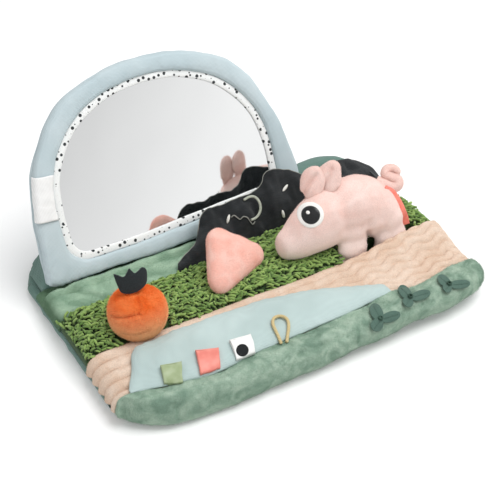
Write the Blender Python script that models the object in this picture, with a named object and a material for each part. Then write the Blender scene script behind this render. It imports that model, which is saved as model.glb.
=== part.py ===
"""A soft tummy-time mat with a stand-up mirror, plush toys in pockets, ribbon tabs and textured strips.

Metres, +Z up. X runs along the front edge, Y to the back, and the origin is on the floor
under the middle of the mat's width, level with the front of the mirror's hinge.
"""

import math

import bmesh
import bpy
from mathutils import Matrix, Vector

for old_object in list(bpy.data.objects):
    bpy.data.objects.remove(old_object, do_unlink=True)

# Driving sizes of the mat
mat_width = 0.440
mat_front_y = -0.167
mat_back_y = 0.146
mat_corner_radius = 0.045
cover_rim_top = 0.014
cover_wall = 0.003
cover_tuck = 0.004
pile_top = 0.036
side_seam_z = 0.0165
side_round = 0.018
seam_depth = 0.006
seam_round = 0.010
seam_wander = 0.010
gap = 0.0003
cut_overrun = 0.004

# Where the sewn seams between the strips run
grass_front_y = -0.0627
grass_back_y = 0.014
bolster_seam_y = -0.143
field_back_y = 0.0700
grass_back_shares = [(-1, -0.8), (-0.7, -0.8), (-0.4, -0.7), (-0.2, -0.3), (0.05, 0.6), (0.3, 0.9), (0.6, 0.6), (1, -0.3)]
bolster_seam_shares = [
    (-1, 1.1), (-0.9, 0.7), (-0.66, -0.5), (-0.52, -0.8), (-0.3, -0.2), (0, 0.1),
    (0.25, 0.4), (0.45, 0.9), (0.55, 0.5), (0.75, 0.9), (0.9, 1.4), (1, 1.5),
]

# Ribs of the path and the lip of the pig's pocket
rib_count = 8
rib_depth = 0.0032
lip_rise = 0.014
lip_start_x = 0.070
lip_full_x = 0.205
lip_front_y = -0.112

# Mint panel on the ribs
stream_from_side = 0.020
stream_left_x = -mat_width / 2 + stream_from_side
stream_right_x = 0.104
stream_back_y = -0.079
stream_seam_clearance = 0.0015
stream_edge = 0.0018
stream_crown = 0.0075
stream_round = 0.024
stream_back_shares = [(0, 1.0), (0.05, 0.35), (0.13, 0.02), (0.3, -0.03), (0.58, 0.0), (0.74, 0.18), (0.88, 0.46), (1, 0.78)]

# Front roll
bolster_front_y = -0.1745
bolster_corner_radius = 0.050
bolster_top = 0.039

# Mirror panel, along its own plane from the hinge line
mirror_lean = math.radians(27)
hinge_y = 0.0513
hinge_z = 0.0308
hinge_radius = 0.0028
hinge_length = 0.270
panel_centre_x = -0.046
panel_half_width = 0.157
panel_foot = 0.0036
panel_spring = 0.062
panel_top = 0.2150
panel_corner = 0.028
panel_power = 2.4
border_side = 0.024
border_foot = 0.0185
border_top = 0.017
border_spring_rise = 0.015
border_corner_drop = 0.004
binding_width = 0.008
mirror_power = 2.15
window_foot_rise = 0.0095
window_rise_start = -0.049
front_cover_depth = 0.008
front_cover_crown = 0.003
back_cover_depth = 0.018
board_thickness = 0.003
sheet_thickness = 0.001
binding_thickness = 0.0022
arch_steps = 28
corner_steps = 4

# Blank tag round the left edge of the frame
tag_middle = 0.099
tag_length = 0.044
tag_thickness = 0.001

# Hill that the mirror leans on
hill_height = 0.048
hill_wall = 0.0025
hill_seat = 0.0006
filling_clearance = 0.0010
hill_height_shares = [
    (-1, 0.17), (-0.93, 0.30), (-0.85, 0.54), (-0.75, 0.76), (-0.6, 0.88), (0, 0.88), (0.5, 0.80), (0.6, 0.89),
    (0.664, 0.94), (0.75, 0.92), (0.82, 0.80), (0.88, 0.66), (0.935, 0.50), (1, 0.26),
]

# Toys
carrot_from_side = 0.066
carrot_x = -mat_width / 2 + carrot_from_side
carrot_y = -0.050
carrot_radius = 0.031
carrot_half_height = 0.026
carrot_sink = 0.006
carrot_clearance = 0.0006
leaf_height = 0.019
leaf_width = 0.034
leaf_thickness = 0.0025

triangle_x = -0.0145
triangle_y = -0.034
triangle_turn = math.radians(25)
triangle_lean = math.radians(41)
triangle_arm = 0.025
triangle_corner = 0.0135
triangle_half_thickness = 0.0115
triangle_lift = 0.0030

pig_from_side = 0.194
pig_nose_x = mat_width / 2 - pig_from_side
pig_length = 0.162
pig_middle_y = -0.028
pig_height = 0.080
pig_half_thickness = 0.028
pig_lift = 0.0006
pocket_step = 0.060
pocket_width = 0.108
pocket_left_x = pig_nose_x + pocket_step
pocket_right_x = pocket_left_x + pocket_width
pocket_back_y = -0.0405
pocket_floor_z = 0.016
leg_y = -0.0515
leg_half_depth = 0.0085
leg_lift = 0.0004
front_leg_step = 0.083
front_leg_x = pig_nose_x + front_leg_step
front_leg_half_width = 0.0185
rear_leg_step = 0.052
rear_leg_x = front_leg_x + rear_leg_step
rear_leg_half_width = 0.0205

# Soil flap
flap_thickness = 0.0024
flap_left_x = -0.068
flap_right_x = 0.212
flap_fold = 0.0035
flap_fold_pitch = 0.046
flap_bulge = 0.009
flap_stand_off = 0.0035

# Small sewn-on trims
tab_width = 0.021
tab_length = 0.026
tab_layer = 0.001
tab_slot = 0.001
tab_turn = math.radians(-8)
tab_seam_y = -0.1505
string_diameter = 0.003
root_loop_diameter = 0.0032
leaf_lobe = 0.0205
sprout_thickness = 0.002
knot_radius = 0.003
trim_lift = 0.0003


def cloth(name, colour, roughness=0.9, metallic=0.0):
    """A Principled material in the piece's plain colour."""
    material = bpy.data.materials.new(name)
    material.use_nodes = True
    shader = material.node_tree.nodes["Principled BSDF"]
    shader.inputs["Base Color"].default_value = (*colour, 1)
    shader.inputs["Roughness"].default_value = roughness
    shader.inputs["Metallic"].default_value = metallic
    return material


def add_object(name, mesh, material, holder=None, local=False):
    """Closes a bmesh into a named object. World points are moved under their holder unless local."""
    bmesh.ops.recalc_face_normals(mesh, faces=mesh.faces)
    data = bpy.data.meshes.new(name)
    mesh.to_mesh(data)
    mesh.free()
    data.shade_smooth()
    data.set_sharp_from_angle(angle=math.radians(40))
    data.materials.append(material)
    piece = bpy.data.objects.new(name, data)
    bpy.context.scene.collection.objects.link(piece)
    if holder:
        piece.parent = holder
        if not local:
            data.transform(holder_frame(holder).inverted())
    return piece


def holder_frame(holder):
    return Matrix.Translation(holder.location) @ holder.rotation_euler.to_matrix().to_4x4()


def add_holder(name, place, turn=(0, 0, 0)):
    """An empty on a joint's axis, which carries the pieces that move together."""
    holder = bpy.data.objects.new(name, None)
    holder.location = place
    holder.rotation_euler = turn
    bpy.context.scene.collection.objects.link(holder)
    return holder


def cut(piece, cutter):
    """Cuts a hidden solid out of a piece."""
    cutter.hide_render = True
    cutter.display_type = "WIRE"
    modifier = piece.modifiers.new("cut_" + cutter.name, "BOOLEAN")
    modifier.operation = "DIFFERENCE"
    modifier.solver = "EXACT"
    modifier.object = cutter


def smooth_at(points, place):
    """Value at place of a smooth curve through points, which are sorted pairs."""
    if place <= points[0][0]:
        return points[0][1]
    if place >= points[-1][0]:
        return points[-1][1]
    index = 0
    while place > points[index + 1][0]:
        index += 1
    (x0, y0), (x1, y1) = points[index], points[index + 1]
    before = points[max(index - 1, 0)]
    after = points[min(index + 2, len(points) - 1)]
    slope0 = (y1 - before[1]) / (x1 - before[0])
    slope1 = (after[1] - y0) / (after[0] - x0)
    t = (place - x0) / (x1 - x0)
    bend0 = (t**3 - 2 * t**2 + t) * (x1 - x0) * slope0
    bend1 = (t**3 - t**2) * (x1 - x0) * slope1
    return (2 * t**3 - 3 * t**2 + 1) * y0 + bend0 + (3 * t**2 - 2 * t**3) * y1 + bend1


def ease(value, low, high):
    """Smooth step from 0 at low to 1 at high."""
    t = min(max((value - low) / (high - low), 0), 1)
    return t * t * (3 - 2 * t)


def pad(distance, radius):
    """Height share of a padded edge at a distance inside it."""
    t = min(max(distance / radius, 0), 1)
    return math.sqrt(t * (2 - t))


def spread(low, high, steps):
    return [low + (high - low) * step / steps for step in range(steps + 1)]


def rounded_steps(steps):
    """Shares from 0 to 1, closer together near both ends."""
    return [(1 - math.cos(math.pi * step / steps)) / 2 for step in range(steps + 1)]


def skin(mesh, rings, first_cap, last_cap):
    """Joins rings of points into a tube. A cap is a point for a fan, or None for a flat face."""
    made = [[mesh.verts.new(point) for point in ring] for ring in rings]
    for low, high in zip(made, made[1:]):
        for index in range(len(low)):
            following = (index + 1) % len(low)
            mesh.faces.new((low[index], low[following], high[following], high[index]))
    for ring, cap in ((made[0], first_cap), (made[-1], last_cap)):
        if cap is None:
            mesh.faces.new(ring)
            continue
        tip = mesh.verts.new(cap)
        for index in range(len(ring)):
            mesh.faces.new((ring[index], ring[(index + 1) % len(ring)], tip))


half_mat = mat_width / 2
mat_column_shares = [0.55 * share + 0.45 * math.sin(math.pi / 2 * share) for share in spread(-1, 1, 26)]
mat_columns = [(half_mat - cover_wall / 2) * share for share in mat_column_shares]


def corner_inset(x, radius):
    """How far a rounded corner pulls the mat's edge in at x."""
    past = abs(x) - (half_mat - radius)
    if past <= 0:
        return 0
    return radius - math.sqrt(max(radius**2 - past**2, 0))


def grass_back(x):
    return grass_back_y + seam_wander * smooth_at(grass_back_shares, x / half_mat)


def bolster_seam(x):
    return bolster_seam_y + seam_wander * smooth_at(bolster_seam_shares, x / half_mat)


def roll_front(x):
    return bolster_front_y + corner_inset(x, bolster_corner_radius)


def mat_back(x):
    return mat_back_y - corner_inset(x, mat_corner_radius)


def side_fall(x):
    """Height share where a strip rounds down to the side seam."""
    return pad(half_mat - abs(x), side_round)


def sewn_strip(name, material, front, back, top, row_shares, floor):
    """A padded strip across the mat, flat below, with its seams along front and back."""
    mesh = bmesh.new()
    grid = []
    for x in mat_columns:
        low = front(x)
        high = back(x)
        line = []
        for share in row_shares:
            y = low + (high - low) * share
            line.append(mesh.verts.new((x, y, top(x, y, share, low, high))))
        grid.append(line)
    for left, right in zip(grid, grid[1:]):
        for row in range(len(row_shares) - 1):
            mesh.faces.new((left[row], right[row], right[row + 1], left[row + 1]))
    ring = [line[0] for line in grid] + grid[-1][1:] + [line[-1] for line in reversed(grid[:-1])]
    ring += list(reversed(grid[0][1:-1]))
    foot = [mesh.verts.new((vertex.co.x, vertex.co.y, floor)) for vertex in ring]
    for index in range(len(ring)):
        following = (index + 1) % len(ring)
        mesh.faces.new((ring[index], foot[index], foot[following], ring[following]))
    mesh.faces.new(foot)
    return add_object(name, mesh, material)


def sewn_top(full, front_distance, back_distance, x):
    """Height of a strip that dips to a seam at its front and back and rounds down at the sides."""
    dip = (1 - pad(front_distance, seam_round)) + (1 - pad(back_distance, seam_round))
    return side_seam_z + (full - seam_depth * dip - side_seam_z) * side_fall(x)


def rounded_rectangle(inset):
    """Outline of the mat, drawn in by inset."""
    radius = mat_corner_radius - inset
    corners = [
        (half_mat - mat_corner_radius, mat_front_y + mat_corner_radius, -90),
        (half_mat - mat_corner_radius, mat_back_y - mat_corner_radius, 0),
        (-half_mat + mat_corner_radius, mat_back_y - mat_corner_radius, 90),
        (-half_mat + mat_corner_radius, mat_front_y + mat_corner_radius, 180),
    ]
    points = []
    for centre_x, centre_y, start in corners:
        for angle in spread(start, start + 90, 6):
            turn = math.radians(angle)
            points.append((centre_x + radius * math.cos(turn), centre_y + radius * math.sin(turn)))
    return points


def mat_ring(inset, z):
    return [(x, y, z) for x, y in rounded_rectangle(inset)]


# Base cover: a shallow tray of canvas, and the wadding inside it
canvas_green = cloth("dark_green_canvas", (0.088, 0.160, 0.125))
wadding_white = cloth("wadding", (0.85, 0.85, 0.82))


def make_base_cover():
    mesh = bmesh.new()
    outer = [mat_ring(cover_tuck, 0), mat_ring(cover_tuck / 3, cover_tuck), mat_ring(0, cover_rim_top)]
    inner = [mat_ring(cover_wall, cover_rim_top), mat_ring(cover_wall + cover_tuck / 3, cover_wall)]
    skin(mesh, outer + inner, None, None)
    add_object("base_cover", mesh, canvas_green)


def make_mat_wadding():
    mesh = bmesh.new()
    inset = cover_wall + gap
    skin(mesh, [mat_ring(inset + cover_tuck / 3, cover_wall + gap), mat_ring(inset, cover_rim_top)], None, None)
    add_object("mat_wadding", mesh, wadding_white)


make_base_cover()
make_mat_wadding()
strip_floor = cover_rim_top + gap

# Textured strips of the top
plush_sage_light = cloth("sage_plush_light", (0.37, 0.56, 0.40))
plush_sage = cloth("sage_plush", (0.26, 0.44, 0.33))
chenille_green = cloth("chenille_green", (0.13, 0.27, 0.06))
peach_ribs = cloth("peach_ribbed_plush", (0.80, 0.62, 0.46))
mint_cotton = cloth("mint_cotton", (0.56, 0.73, 0.70))

field_trough_z = hinge_z - hinge_radius - gap
trough_start_y = hinge_y - 0.34 * hinge_y
trough_end_y = hinge_y - 0.14 * hinge_y


def field_top(x, y, share, low, high):
    full = field_trough_z + (pile_top - 2 * gap - field_trough_z) * (1 - ease(y, trough_start_y, trough_end_y))
    dip = 1 - pad(y - low, seam_round)
    return side_seam_z + (full - seam_depth * dip * (1 - share) - side_seam_z) * side_fall(x)


def grass_top(x, y, share, low, high):
    return sewn_top(pile_top, y - low, high - y, x)


def lip_share(x):
    return ease(x, lip_start_x, lip_full_x)


def path_top(x, y, share, low, high):
    rib = rib_depth * (1 - abs(math.sin(math.pi * rib_count * share)))
    lip = lip_share(x)
    seam = 1 - pad(y - low, seam_round) + (1 - pad(high - y, seam_round)) * (1 - lip)
    full = pile_top - rib - (seam_depth - rib_depth) * seam
    full += lip_rise * lip * ease(y, lip_front_y, high)
    return side_seam_z + (full - side_seam_z) * side_fall(x)


roll_section_shares = [
    (0.24, 0), (0.08, 0.16), (0, 0.40), (0.03, 0.64), (0.12, 0.84), (0.28, 0.97), (0.46, 1.0), (0.66, 0.98),
    (0.84, 0.91), (1, 0.78), (1, 0),
]


def roll_height(x, y):
    """Height of the front roll's upper side."""
    low = roll_front(x)
    share = (y - low) / (bolster_seam(x) - low)
    level = smooth_at(roll_section_shares[2:-1], share)
    return strip_floor + (roll_top_at(x) - strip_floor) * level


def roll_top_at(x):
    return side_seam_z + (bolster_top - side_seam_z) * side_fall(x)


def make_front_bolster():
    """The plush roll along the front edge, which hangs a little over the base."""
    mesh = bmesh.new()
    rings = []
    for x in mat_columns:
        low = roll_front(x)
        depth = bolster_seam(x) - gap / 2 - low
        height = roll_top_at(x) - strip_floor
        rings.append([(x, low + depth * back, strip_floor + height * up) for back, up in roll_section_shares])
    skin(mesh, rings, None, None)
    add_object("front_bolster", mesh, plush_sage)


def make_strips():
    """Four strips sewn side by side from the mirror to the front edge."""
    half_gap = gap / 2
    field_rows_share = [0, 0.06, 0.16, 0.28, 0.38, 0.46, 0.53, 0.60, 0.78, 1]
    sewn_strip("back_plush_field", plush_sage_light, lambda x: grass_back(x) + half_gap,
               lambda x: field_back_y, field_top, field_rows_share, strip_floor)
    grass = sewn_strip("grass_strip", chenille_green, lambda x: grass_front_y + half_gap,
                       lambda x: grass_back(x) - half_gap, grass_top, rounded_steps(7), strip_floor)
    path = sewn_strip("ribbed_path", peach_ribs, lambda x: bolster_seam(x) + half_gap,
                      lambda x: grass_front_y - half_gap, path_top, spread(0, 1, 3 * rib_count), strip_floor)
    make_front_bolster()
    return grass, path


grass_strip, ribbed_path = make_strips()


def make_pocket_cut():
    """The slot behind the lip of the ribbed path, where the pig's feet go."""
    mesh = bmesh.new()
    low = Vector((pocket_left_x, grass_front_y - gap / 2, pocket_floor_z))
    high = Vector((pocket_right_x, pocket_back_y, pile_top + cut_overrun))
    outline = [(low.x, low.y - gap), (high.x, low.y - gap), (high.x, high.y), (low.x, high.y)]
    skin(mesh, [[(x, y, z) for x, y in outline] for z in (low.z, high.z)], None, None)
    cut(grass_strip, add_object("pocket_cutter", mesh, wadding_white))


make_pocket_cut()

stream_floor = pile_top + gap
stream_length = stream_right_x - stream_left_x


def stream_front(x):
    return bolster_seam(x) + stream_seam_clearance


def stream_back(x):
    share = smooth_at(stream_back_shares, (x - stream_left_x) / stream_length)
    return stream_back_y + (stream_front(x) + 2 * stream_edge - stream_back_y) * share


def stream_top(x, y):
    """Height of the mint panel's padded top."""
    near = min(y - stream_front(x), stream_back(x) - y)
    ends = min(x - stream_left_x, stream_right_x - x)
    return stream_floor + stream_edge + stream_crown * pad(near, stream_round) * pad(ends, 2 * stream_round)


def make_stream_panel():
    mesh = bmesh.new()
    rings = []
    for share in rounded_steps(20):
        x = stream_left_x + stream_length * share
        low = stream_front(x)
        high = stream_back(x)
        line = [(x, y, stream_top(x, y)) for y in [low + (high - low) * step for step in rounded_steps(7)]]
        rings.append(line + [(x, high, stream_floor), (x, low, stream_floor)])
    skin(mesh, rings, None, None)
    add_object("stream_panel", mesh, mint_cotton)


make_stream_panel()

# Mirror panel, built in its own plane: x across, minus y to the front, z up from the hinge line
frame_cotton = cloth("blue_grey_cotton", (0.48, 0.62, 0.68))
dot_binding = cloth("dotted_binding", (0.88, 0.88, 0.86))
mirror_film = cloth("mirror_film", (0.9, 0.9, 0.9), 0.05, 1.0)
board_grey = cloth("board", (0.5, 0.5, 0.5))
tag_white = cloth("white_satin_tag", (0.9, 0.9, 0.9), 0.5)
piping_cotton = cloth("piping_cotton", (0.30, 0.42, 0.36))

outer_arch = (panel_half_width, panel_foot, panel_spring, panel_top, panel_corner, panel_power, 0)
window_arch = (
    panel_half_width - border_side,
    panel_foot + border_foot,
    panel_spring + border_spring_rise,
    panel_top - border_top,
    panel_corner - border_corner_drop,
    mirror_power,
    window_foot_rise,
)
glass_arch = (
    window_arch[0] - binding_width,
    window_arch[1] + binding_width,
    window_arch[2],
    window_arch[3] - binding_width,
    window_arch[4] - binding_width / 2,
    mirror_power,
    window_foot_rise,
)


def between(first, second, share):
    return tuple(a + (b - a) * share for a, b in zip(first, second))


def shrunk(arch, inset):
    half_width, foot, spring, top, corner, power, rise = arch
    return (half_width - inset, foot + inset, spring, top - inset, corner - inset, power, rise)


def arch_outline(arch):
    """Points (x, z) round an arch with a straight foot, which may climb to the right, and rounded lower corners."""
    half_width, foot, spring, top, corner, power, rise = arch
    points = []
    for angle in spread(-90, 0, corner_steps):
        turn = math.radians(angle)
        points.append((half_width - corner + corner * math.cos(turn), foot + corner + corner * math.sin(turn)))
    for angle in spread(0, 180, arch_steps):
        turn = math.radians(angle)
        across = math.copysign(abs(math.cos(turn)) ** (2 / power), math.cos(turn))
        points.append((half_width * across, spring + (top - spring) * abs(math.sin(turn)) ** (2 / power)))
    for angle in spread(180, 270, corner_steps):
        turn = math.radians(angle)
        points.append((-half_width + corner + corner * math.cos(turn), foot + corner + corner * math.sin(turn)))
    climbed = []
    for x, z in points:
        low_share = min(max((spring - z) / (spring - foot), 0), 1)
        climb = min(max((x - window_rise_start) / (half_width - window_rise_start), 0), 1)
        climbed.append((x, z + rise * low_share * climb))
    return climbed


def arch_ring(arch, forward):
    return [(x, -forward, z) for x, z in arch_outline(arch)]


mirror_hinge = add_holder("mirror_hinge_line", (panel_centre_x, hinge_y, hinge_z), (-mirror_lean, 0, 0))
frame_section_shares = [(0, -1), (0, -0.4), (0.10, 0.3), (0.4, 1), (0.75, 0.75), (1, -0.1), (1, -1)]


def crown_forward(share):
    """How far forward the frame's padded front stands at a share across its border."""
    heights = [(at, level * front_cover_crown) for at, level in frame_section_shares[1:6]]
    return smooth_at(heights, share)


def make_front_cover():
    mesh = bmesh.new()
    rings = []
    for share, level in frame_section_shares:
        forward = level * (front_cover_depth if level == -1 else front_cover_crown)
        rings.append(arch_ring(between(outer_arch, window_arch, share), forward))
    made = [[mesh.verts.new(point) for point in ring] for ring in rings]
    for low, high in zip(made, made[1:] + made[:1]):
        for index in range(len(low)):
            following = (index + 1) % len(low)
            mesh.faces.new((low[index], low[following], high[following], high[index]))
    add_object("mirror_front_cover", mesh, frame_cotton, mirror_hinge, local=True)


def make_back_cover():
    mesh = bmesh.new()
    start = front_cover_depth + gap
    depth = back_cover_depth - start
    layer_shares = [(0, 0), (0, 0.35), (0.35, 0.8), (1, 1)]
    rings = [arch_ring(between(outer_arch, window_arch, inset), -start - depth * back)
             for inset, back in layer_shares]
    skin(mesh, rings, None, None)
    add_object("mirror_back_cover", mesh, frame_cotton, mirror_hinge, local=True)


def make_plate(name, arch, back, thickness, material):
    mesh = bmesh.new()
    skin(mesh, [arch_ring(arch, back), arch_ring(arch, back + thickness)], None, None)
    add_object(name, mesh, material, mirror_hinge, local=True)


def make_binding(back):
    mesh = bmesh.new()
    outer = shrunk(window_arch, gap)
    section_shares = [(0, 0), (0, 0.7), (0.5, 1), (1, 0.6), (1, 0)]
    rings = [arch_ring(between(outer, glass_arch, inset), back + binding_thickness * level)
             for inset, level in section_shares]
    made = [[mesh.verts.new(point) for point in ring] for ring in rings]
    for low, high in zip(made, made[1:] + made[:1]):
        for index in range(len(low)):
            following = (index + 1) % len(low)
            mesh.faces.new((low[index], low[following], high[following], high[index]))
    add_object("dotted_binding", mesh, dot_binding, mirror_hinge, local=True)


def half_width_at(arch, height):
    """Half the width of an arch at a height above its spring line."""
    half_width, foot, spring, top, corner, power, rise = arch
    up = min(max((height - spring) / (top - spring), 0), 1)
    return half_width * (1 - up**power) ** (1 / power)


def make_tag():
    """The blank woven tag that is sewn over the frame's left border."""
    mesh = bmesh.new()
    rings = []
    for height in spread(tag_middle - tag_length / 2, tag_middle + tag_length / 2, 5):
        under = []
        for share in (0.04, 0.1, 0.25, 0.45, 0.7, 0.95):
            x = -half_width_at(between(outer_arch, window_arch, share), height)
            under.append((x, crown_forward(share) + 2 * gap))
        over = [(x, forward + tag_thickness) for x, forward in reversed(under)]
        rings.append([(x, -forward, height) for x, forward in under + over])
    skin(mesh, rings, None, None)
    add_object("blank_tag", mesh, tag_white, mirror_hinge, local=True)


def make_hinge_piping():
    mesh = bmesh.new()
    rings = []
    for x in (panel_centre_x - hinge_length / 2, panel_centre_x + hinge_length / 2):
        ring = []
        for angle in spread(0, 330, 11):
            turn = math.radians(angle)
            ring.append((x, hinge_y + hinge_radius * math.cos(turn), hinge_z + hinge_radius * math.sin(turn)))
        rings.append(ring)
    skin(mesh, rings, None, None)
    add_object("hinge_piping", mesh, piping_cotton)


make_front_cover()
make_back_cover()
plate_back = -front_cover_depth
make_plate("mirror_board", shrunk(window_arch, gap), plate_back, board_thickness, board_grey)
sheet_back = plate_back + board_thickness + gap
make_plate("mirror_sheet", shrunk(window_arch, gap), sheet_back, sheet_thickness, mirror_film)
make_binding(sheet_back + sheet_thickness + gap)
make_tag()
make_hinge_piping()


def panel_back_y(z):
    """Where the mirror's back stands at height z, at rest."""
    along = (z - hinge_z + back_cover_depth * math.sin(mirror_lean)) / math.cos(mirror_lean)
    return hinge_y + along * math.sin(mirror_lean) + back_cover_depth * math.cos(mirror_lean)


def panel_front_y(z):
    """Where the frame's front stands at height z, at rest."""
    along = (z - hinge_z - front_cover_crown * math.sin(mirror_lean)) / math.cos(mirror_lean)
    return hinge_y + along * math.sin(mirror_lean) - front_cover_crown * math.cos(mirror_lean)


def hill_front_y(z):
    return max(field_back_y + gap, panel_back_y(z) + hill_seat)


hill_section_shares = [
    (0, 0), (0, 0.3), (0, 0.6), (0, 0.85), (0.04, 0.95), (0.11, 1), (0.22, 0.97), (0.40, 0.82), (0.62, 0.58),
    (0.82, 0.32), (0.95, 0.13), (1, 0.05), (1, 0),
]


def hill_height_at(x):
    return hill_height * smooth_at(hill_height_shares, x / half_mat)


def hill_ring(x, inset, floor):
    """One section of the hill: its front leans with the mirror, then it falls to the back edge."""
    height = hill_height_at(x) - inset
    ring = []
    for back, level in hill_section_shares:
        z = strip_floor + height * level
        front_y = hill_front_y(z) + inset
        back_y = mat_back(x) - inset
        y = front_y + (back_y - front_y) * back
        ring.append((x * (1 - inset / half_mat), y, floor if level == 0 else z))
    return ring


def hill_body(name, inset, floor, material):
    mesh = bmesh.new()
    skin(mesh, [hill_ring(x, inset, floor) for x in mat_columns], None, None)
    return add_object(name, mesh, material)


def make_hill():
    """The canvas hill behind the mirror, open below, over its wadding."""
    cover = hill_body("hill_cover", 0, strip_floor, canvas_green)
    hollow = hill_body("hill_hollow_cutter", hill_wall, strip_floor - cut_overrun, wadding_white)
    cut(cover, hollow)
    hill_body("hill_wadding", hill_wall + filling_clearance, strip_floor, wadding_white)


make_hill()

# Soil flap: crinkle cloth from the grass seam up to the mirror and the hill
black_crinkle = cloth("black_crinkle_cloth", (0.022, 0.024, 0.025), 0.7)
pale_cord = cloth("pale_grey_cord", (0.55, 0.55, 0.48))
flap_top_shares = [
    (0, 0.02), (0.04, 0.10), (0.09, 0.34), (0.15, 0.64), (0.19, 0.74), (0.25, 0.70), (0.33, 0.59), (0.41, 0.62),
    (0.47, 0.78), (0.53, 1.0), (0.60, 0.94), (0.67, 0.80), (0.75, 0.66), (0.86, 0.30), (0.93, 0.06), (1, 0),
]
flap_rise = 0.042
flap_crest_start = 0.132
flap_crest_full = 0.170
crest_back_share = 0.08
flap_end_y = 0.056
flap_end_start = 0.178
flap_lift = 0.0005
flap_normal = Vector((0, -0.5, 0.866)).normalized()


def pile_height(x, y):
    """Height of the plush field, or of the grass in front of it."""
    if y < grass_back(x):
        return grass_top(x, y, 0, grass_front_y, grass_back(x))
    share = (y - grass_back(x)) / (field_back_y - grass_back(x))
    return field_top(x, y, share, grass_back(x), field_back_y)


def flap_top_point(x, along):
    """Where the flap's upper edge stands: on the mirror's foot, against the hill, then over the hill's crest."""
    foot_z = pile_top + flap_lift
    z = foot_z + flap_rise * smooth_at(flap_top_shares, along)
    frame_end = panel_centre_x + panel_half_width
    on_hill = ease(x, frame_end - flap_stand_off, frame_end + 4 * flap_stand_off)
    y = panel_front_y(z) + (hill_front_y(z) - panel_front_y(z)) * on_hill
    y = y - flap_stand_off - flap_thickness - flap_fold
    crest_z = max(strip_floor + hill_height_at(x), foot_z) + flap_thickness
    crest_y = hill_front_y(crest_z) + crest_back_share * (mat_back(x) - hill_front_y(crest_z))
    crest_y += (flap_end_y - crest_y) * ease(x, flap_end_start, flap_right_x)
    on_crest = ease(x, flap_crest_start, flap_crest_full)
    return y + (crest_y - y) * on_crest, z + (crest_z - z) * on_crest


def flap_point(along, up):
    """A point of the flap's back face: along its length and up from its seam, both as shares."""
    x = flap_left_x + (flap_right_x - flap_left_x) * along
    foot_y = grass_back(x) + flap_stand_off
    foot_z = pile_height(x, foot_y) + flap_lift
    top_y, top_z = flap_top_point(x, along)
    full = ease(top_z - foot_z, 0, flap_rise / 2)
    wave = math.sin(2 * math.pi * x / flap_fold_pitch) * flap_fold * math.sin(math.pi * up) ** 0.8 * full
    bulge = flap_bulge * math.sin(math.pi * up) * full
    y = foot_y + (top_y - foot_y) * up - bulge / 2 - wave / 2
    z = foot_z + (top_z - foot_z) * up + bulge + wave
    return Vector((x, y, max(z, pile_height(x, y) + flap_lift)))


def make_soil_flap():
    mesh = bmesh.new()
    rings = []
    for along in spread(0, 1, 34):
        under = [flap_point(along, up) for up in spread(0, 1, 6)]
        lift = flap_normal * flap_thickness
        over = [point + lift for point in reversed(under)]
        rings.append(under + over)
    skin(mesh, rings, None, None)
    add_object("soil_flap", mesh, black_crinkle)


make_soil_flap()


def catmull(points, step_length):
    """Points about step_length apart on a smooth curve through the route's own points."""
    route = [Vector(point) for point in points]
    smooth = []
    for index in range(len(route) - 1):
        before = route[max(index - 1, 0)]
        start = route[index]
        end = route[index + 1]
        after = route[min(index + 2, len(route) - 1)]
        pieces = max(1, round((end - start).length / step_length))
        for step in range(pieces):
            t = step / pieces
            smooth.append(
                0.5 * ((2 * start) + (end - before) * t + (2 * before - 5 * start + 4 * end - after) * t**2
                       + (3 * start - before - 3 * end + after) * t**3)
            )
    smooth.append(route[-1])
    return smooth


def make_cord(name, points, diameter, material, holder=None):
    """A round cord along a smooth route, with filled ends."""
    curve = bpy.data.curves.new(name, "CURVE")
    curve.dimensions = "3D"
    curve.bevel_depth = diameter / 2
    curve.bevel_resolution = 2
    curve.use_fill_caps = True
    route = catmull(points, 2 * diameter)
    spline = curve.splines.new("POLY")
    spline.points.add(len(route) - 1)
    offset = holder.location if holder else Vector((0, 0, 0))
    for point, place in zip(spline.points, route):
        point.co = (*(place - offset), 1)
    curve.materials.append(material)
    cord = bpy.data.objects.new(name, curve)
    bpy.context.scene.collection.objects.link(cord)
    cord.parent = holder
    return cord


# Cord loop that stands out of the soil flap, with both ends on the cloth
root_loop_reach = 0.0105
root_loop_lift = 0.0011
root_loop_shares = [
    (0.383, 0.94, 0), (0.384, 0.94, 0.38), (0.391, 0.86, 0.76), (0.387, 0.67, 1.0), (0.376, 0.49, 1.0),
    (0.358, 0.39, 0.74), (0.343, 0.355, 0.36), (0.341, 0.355, 0),
]


def flap_face(along, up, out):
    """A point in front of the flap, out from its face along its lean."""
    return flap_point(along, up) + flap_normal * (flap_thickness + out)


root_loop_route = [
    flap_face(along, up, root_loop_lift + root_loop_reach * out) for along, up, out in root_loop_shares
]
make_cord("root_loop", root_loop_route, root_loop_diameter, pale_cord)

# Carrot: an orange ball with felt leaves, sunk into a nest in the strips
carrot_orange = cloth("orange_plush", (0.86, 0.19, 0.03))
leaf_felt = cloth("dark_green_felt", (0.02, 0.035, 0.028))
carrot_z = pile_top - carrot_sink + carrot_half_height
carrot_holder = add_holder("carrot_pull_line", (carrot_x, carrot_y, carrot_z))
carrot_section_shares = [
    (0.30, -0.97), (0.62, -0.80), (0.88, -0.50), (0.99, -0.14), (0.985, 0.02), (1.0, 0.16), (0.90, 0.50),
    (0.68, 0.78), (0.40, 0.94), (0.16, 0.97),
]


def turned_ring(radius, z, sides):
    ring = []
    for index in range(sides):
        turn = 2 * math.pi * index / sides
        ring.append((carrot_x + radius * math.cos(turn), carrot_y + radius * math.sin(turn), z))
    return ring


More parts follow.
